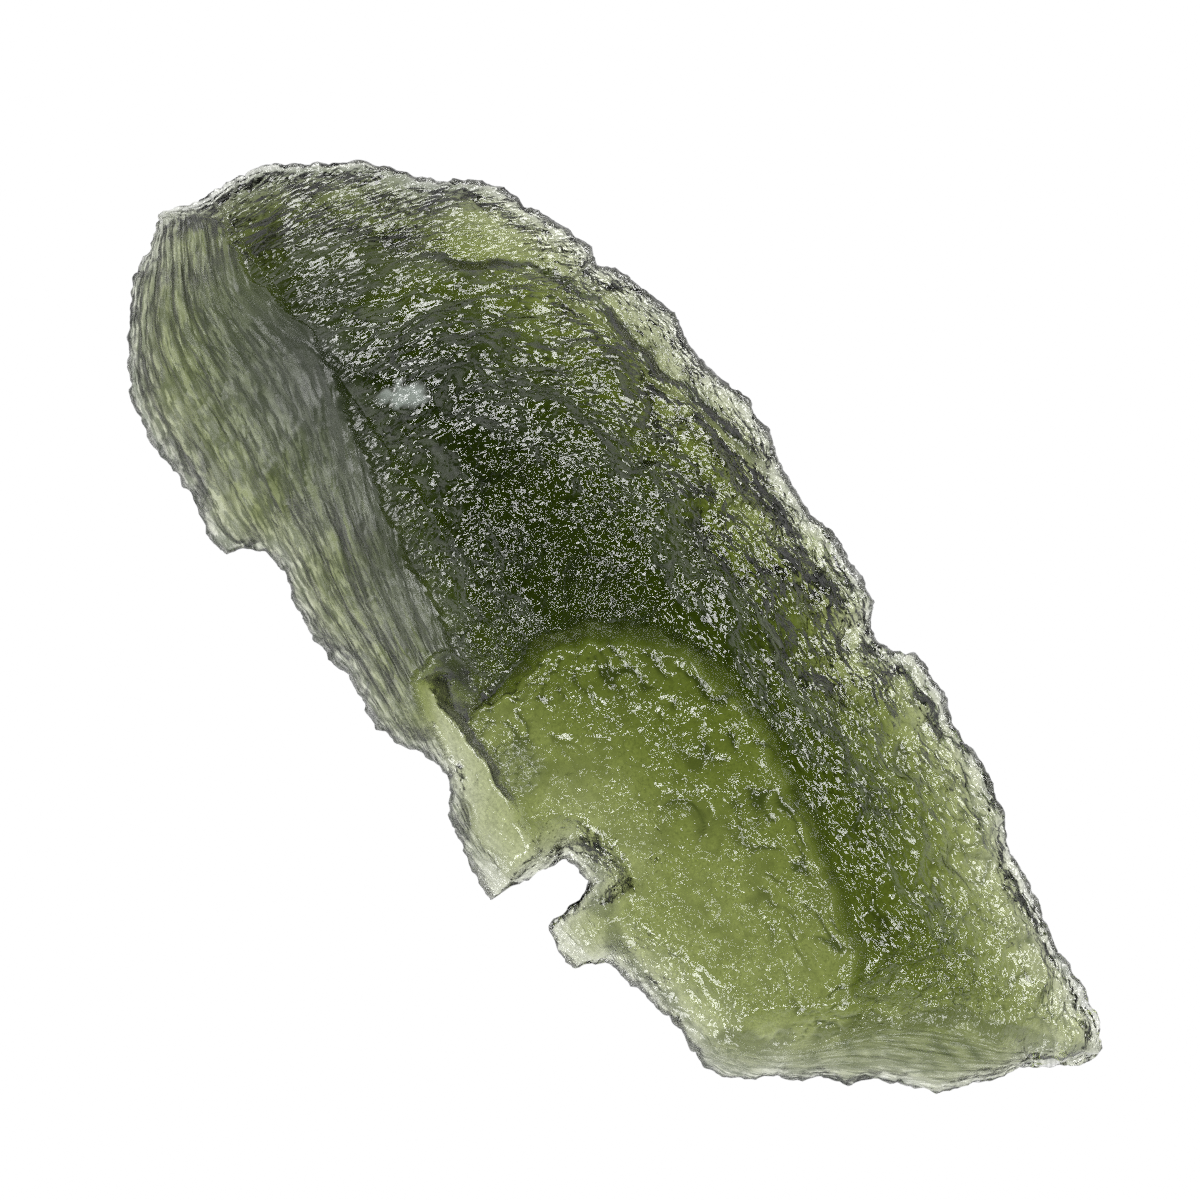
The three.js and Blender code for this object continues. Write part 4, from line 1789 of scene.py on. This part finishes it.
@dataclass(frozen=True)
class Studio:
    """The light table, the soft lights and the pale surroundings."""

    table: LightTable = field(default_factory=LightTable)
    lights: tuple[SoftLight, ...] = (
        SoftLight("right_box", 12.0, 30.0, 0.20, 0.18, 12.0),
        SoftLight("far_right_box", 48.0, 24.0, 0.24, 0.16, 12.5),
        SoftLight("far_right_high_box", 40.0, 50.0, 0.16, 0.14, 11.0),
        SoftLight("far_box", 88.0, 22.0, 0.24, 0.16, 14.0),
        SoftLight("far_high_box", 108.0, 46.0, 0.18, 0.14, 13.0),
        SoftLight("left_box", 148.0, 28.0, 0.20, 0.16, 11.0),
        SoftLight("left_high_box", 165.0, 48.0, 0.18, 0.14, 11.0),
        SoftLight("near_left_high_box", 218.0, 44.0, 0.20, 0.16, 11.0),
        SoftLight("near_left_box", 228.0, 22.0, 0.26, 0.16, 12.0),
        SoftLight("near_box", 268.0, 50.0, 0.20, 0.15, 15.0),
        SoftLight("lower_box", 318.0, 44.0, 0.16, 0.14, 12.0),
        SoftLight("overhead_box", 75.0, 79.0, 0.09, 0.09, 9.0),
    )
    horizon: float = 0.35
    zenith: float = 0.02
    pale_height: float = 0.35
    brightest_bounce: float = 3.0
    bounces: int = 12

    def build(self, picture_turn: float) -> list[bpy.types.Object]:
        """Return the light table and the lights, with the surroundings and render settings made.

        Args:
            picture_turn: degrees from the picture's right to the stone's X axis.

        Returns:
            the table first, then the lights in order.
        """
        self._surroundings()
        scene = bpy.context.scene
        scene.view_settings.view_transform = "Standard"
        scene.cycles.use_denoising = False
        scene.cycles.sample_clamp_indirect = self.brightest_bounce
        scene.cycles.max_bounces = self.bounces
        scene.cycles.transmission_bounces = self.bounces
        return [self.table.build(), *(light.build(picture_turn) for light in self.lights)]

    def _surroundings(self) -> None:
        """Set a sky that is pale at the horizon and fades with height to dim overhead."""
        world = bpy.data.worlds.new("surroundings")
        world.use_nodes = True
        graph = Graph(world.node_tree)
        place = graph.add("TexCoord", "Generated", {})
        height = graph.add("SeparateXYZ", "Z", {"Vector": place})
        strength = graph.span(height, (0.0, self.pale_height), (self.horizon, self.zenith))
        background = graph.tree.nodes["Background"]
        background.inputs["Color"].default_value = (1.0, 1.0, 1.0, 1.0)
        graph.tree.links.new(strength, background.inputs["Strength"])
        bpy.context.scene.world = world


def main() -> None:
    """Build the camera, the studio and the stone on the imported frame."""
    logging.basicConfig(level=logging.INFO, format="%(name)s: %(message)s")
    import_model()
    camera = PhotoCamera()
    for piece in (camera.build(), *Studio().build(camera.picture_turn), Moldavite().build()):
        LOG.info("made the %s %s", piece.type.lower(), piece.name)


if __name__ == "__main__":
    main()
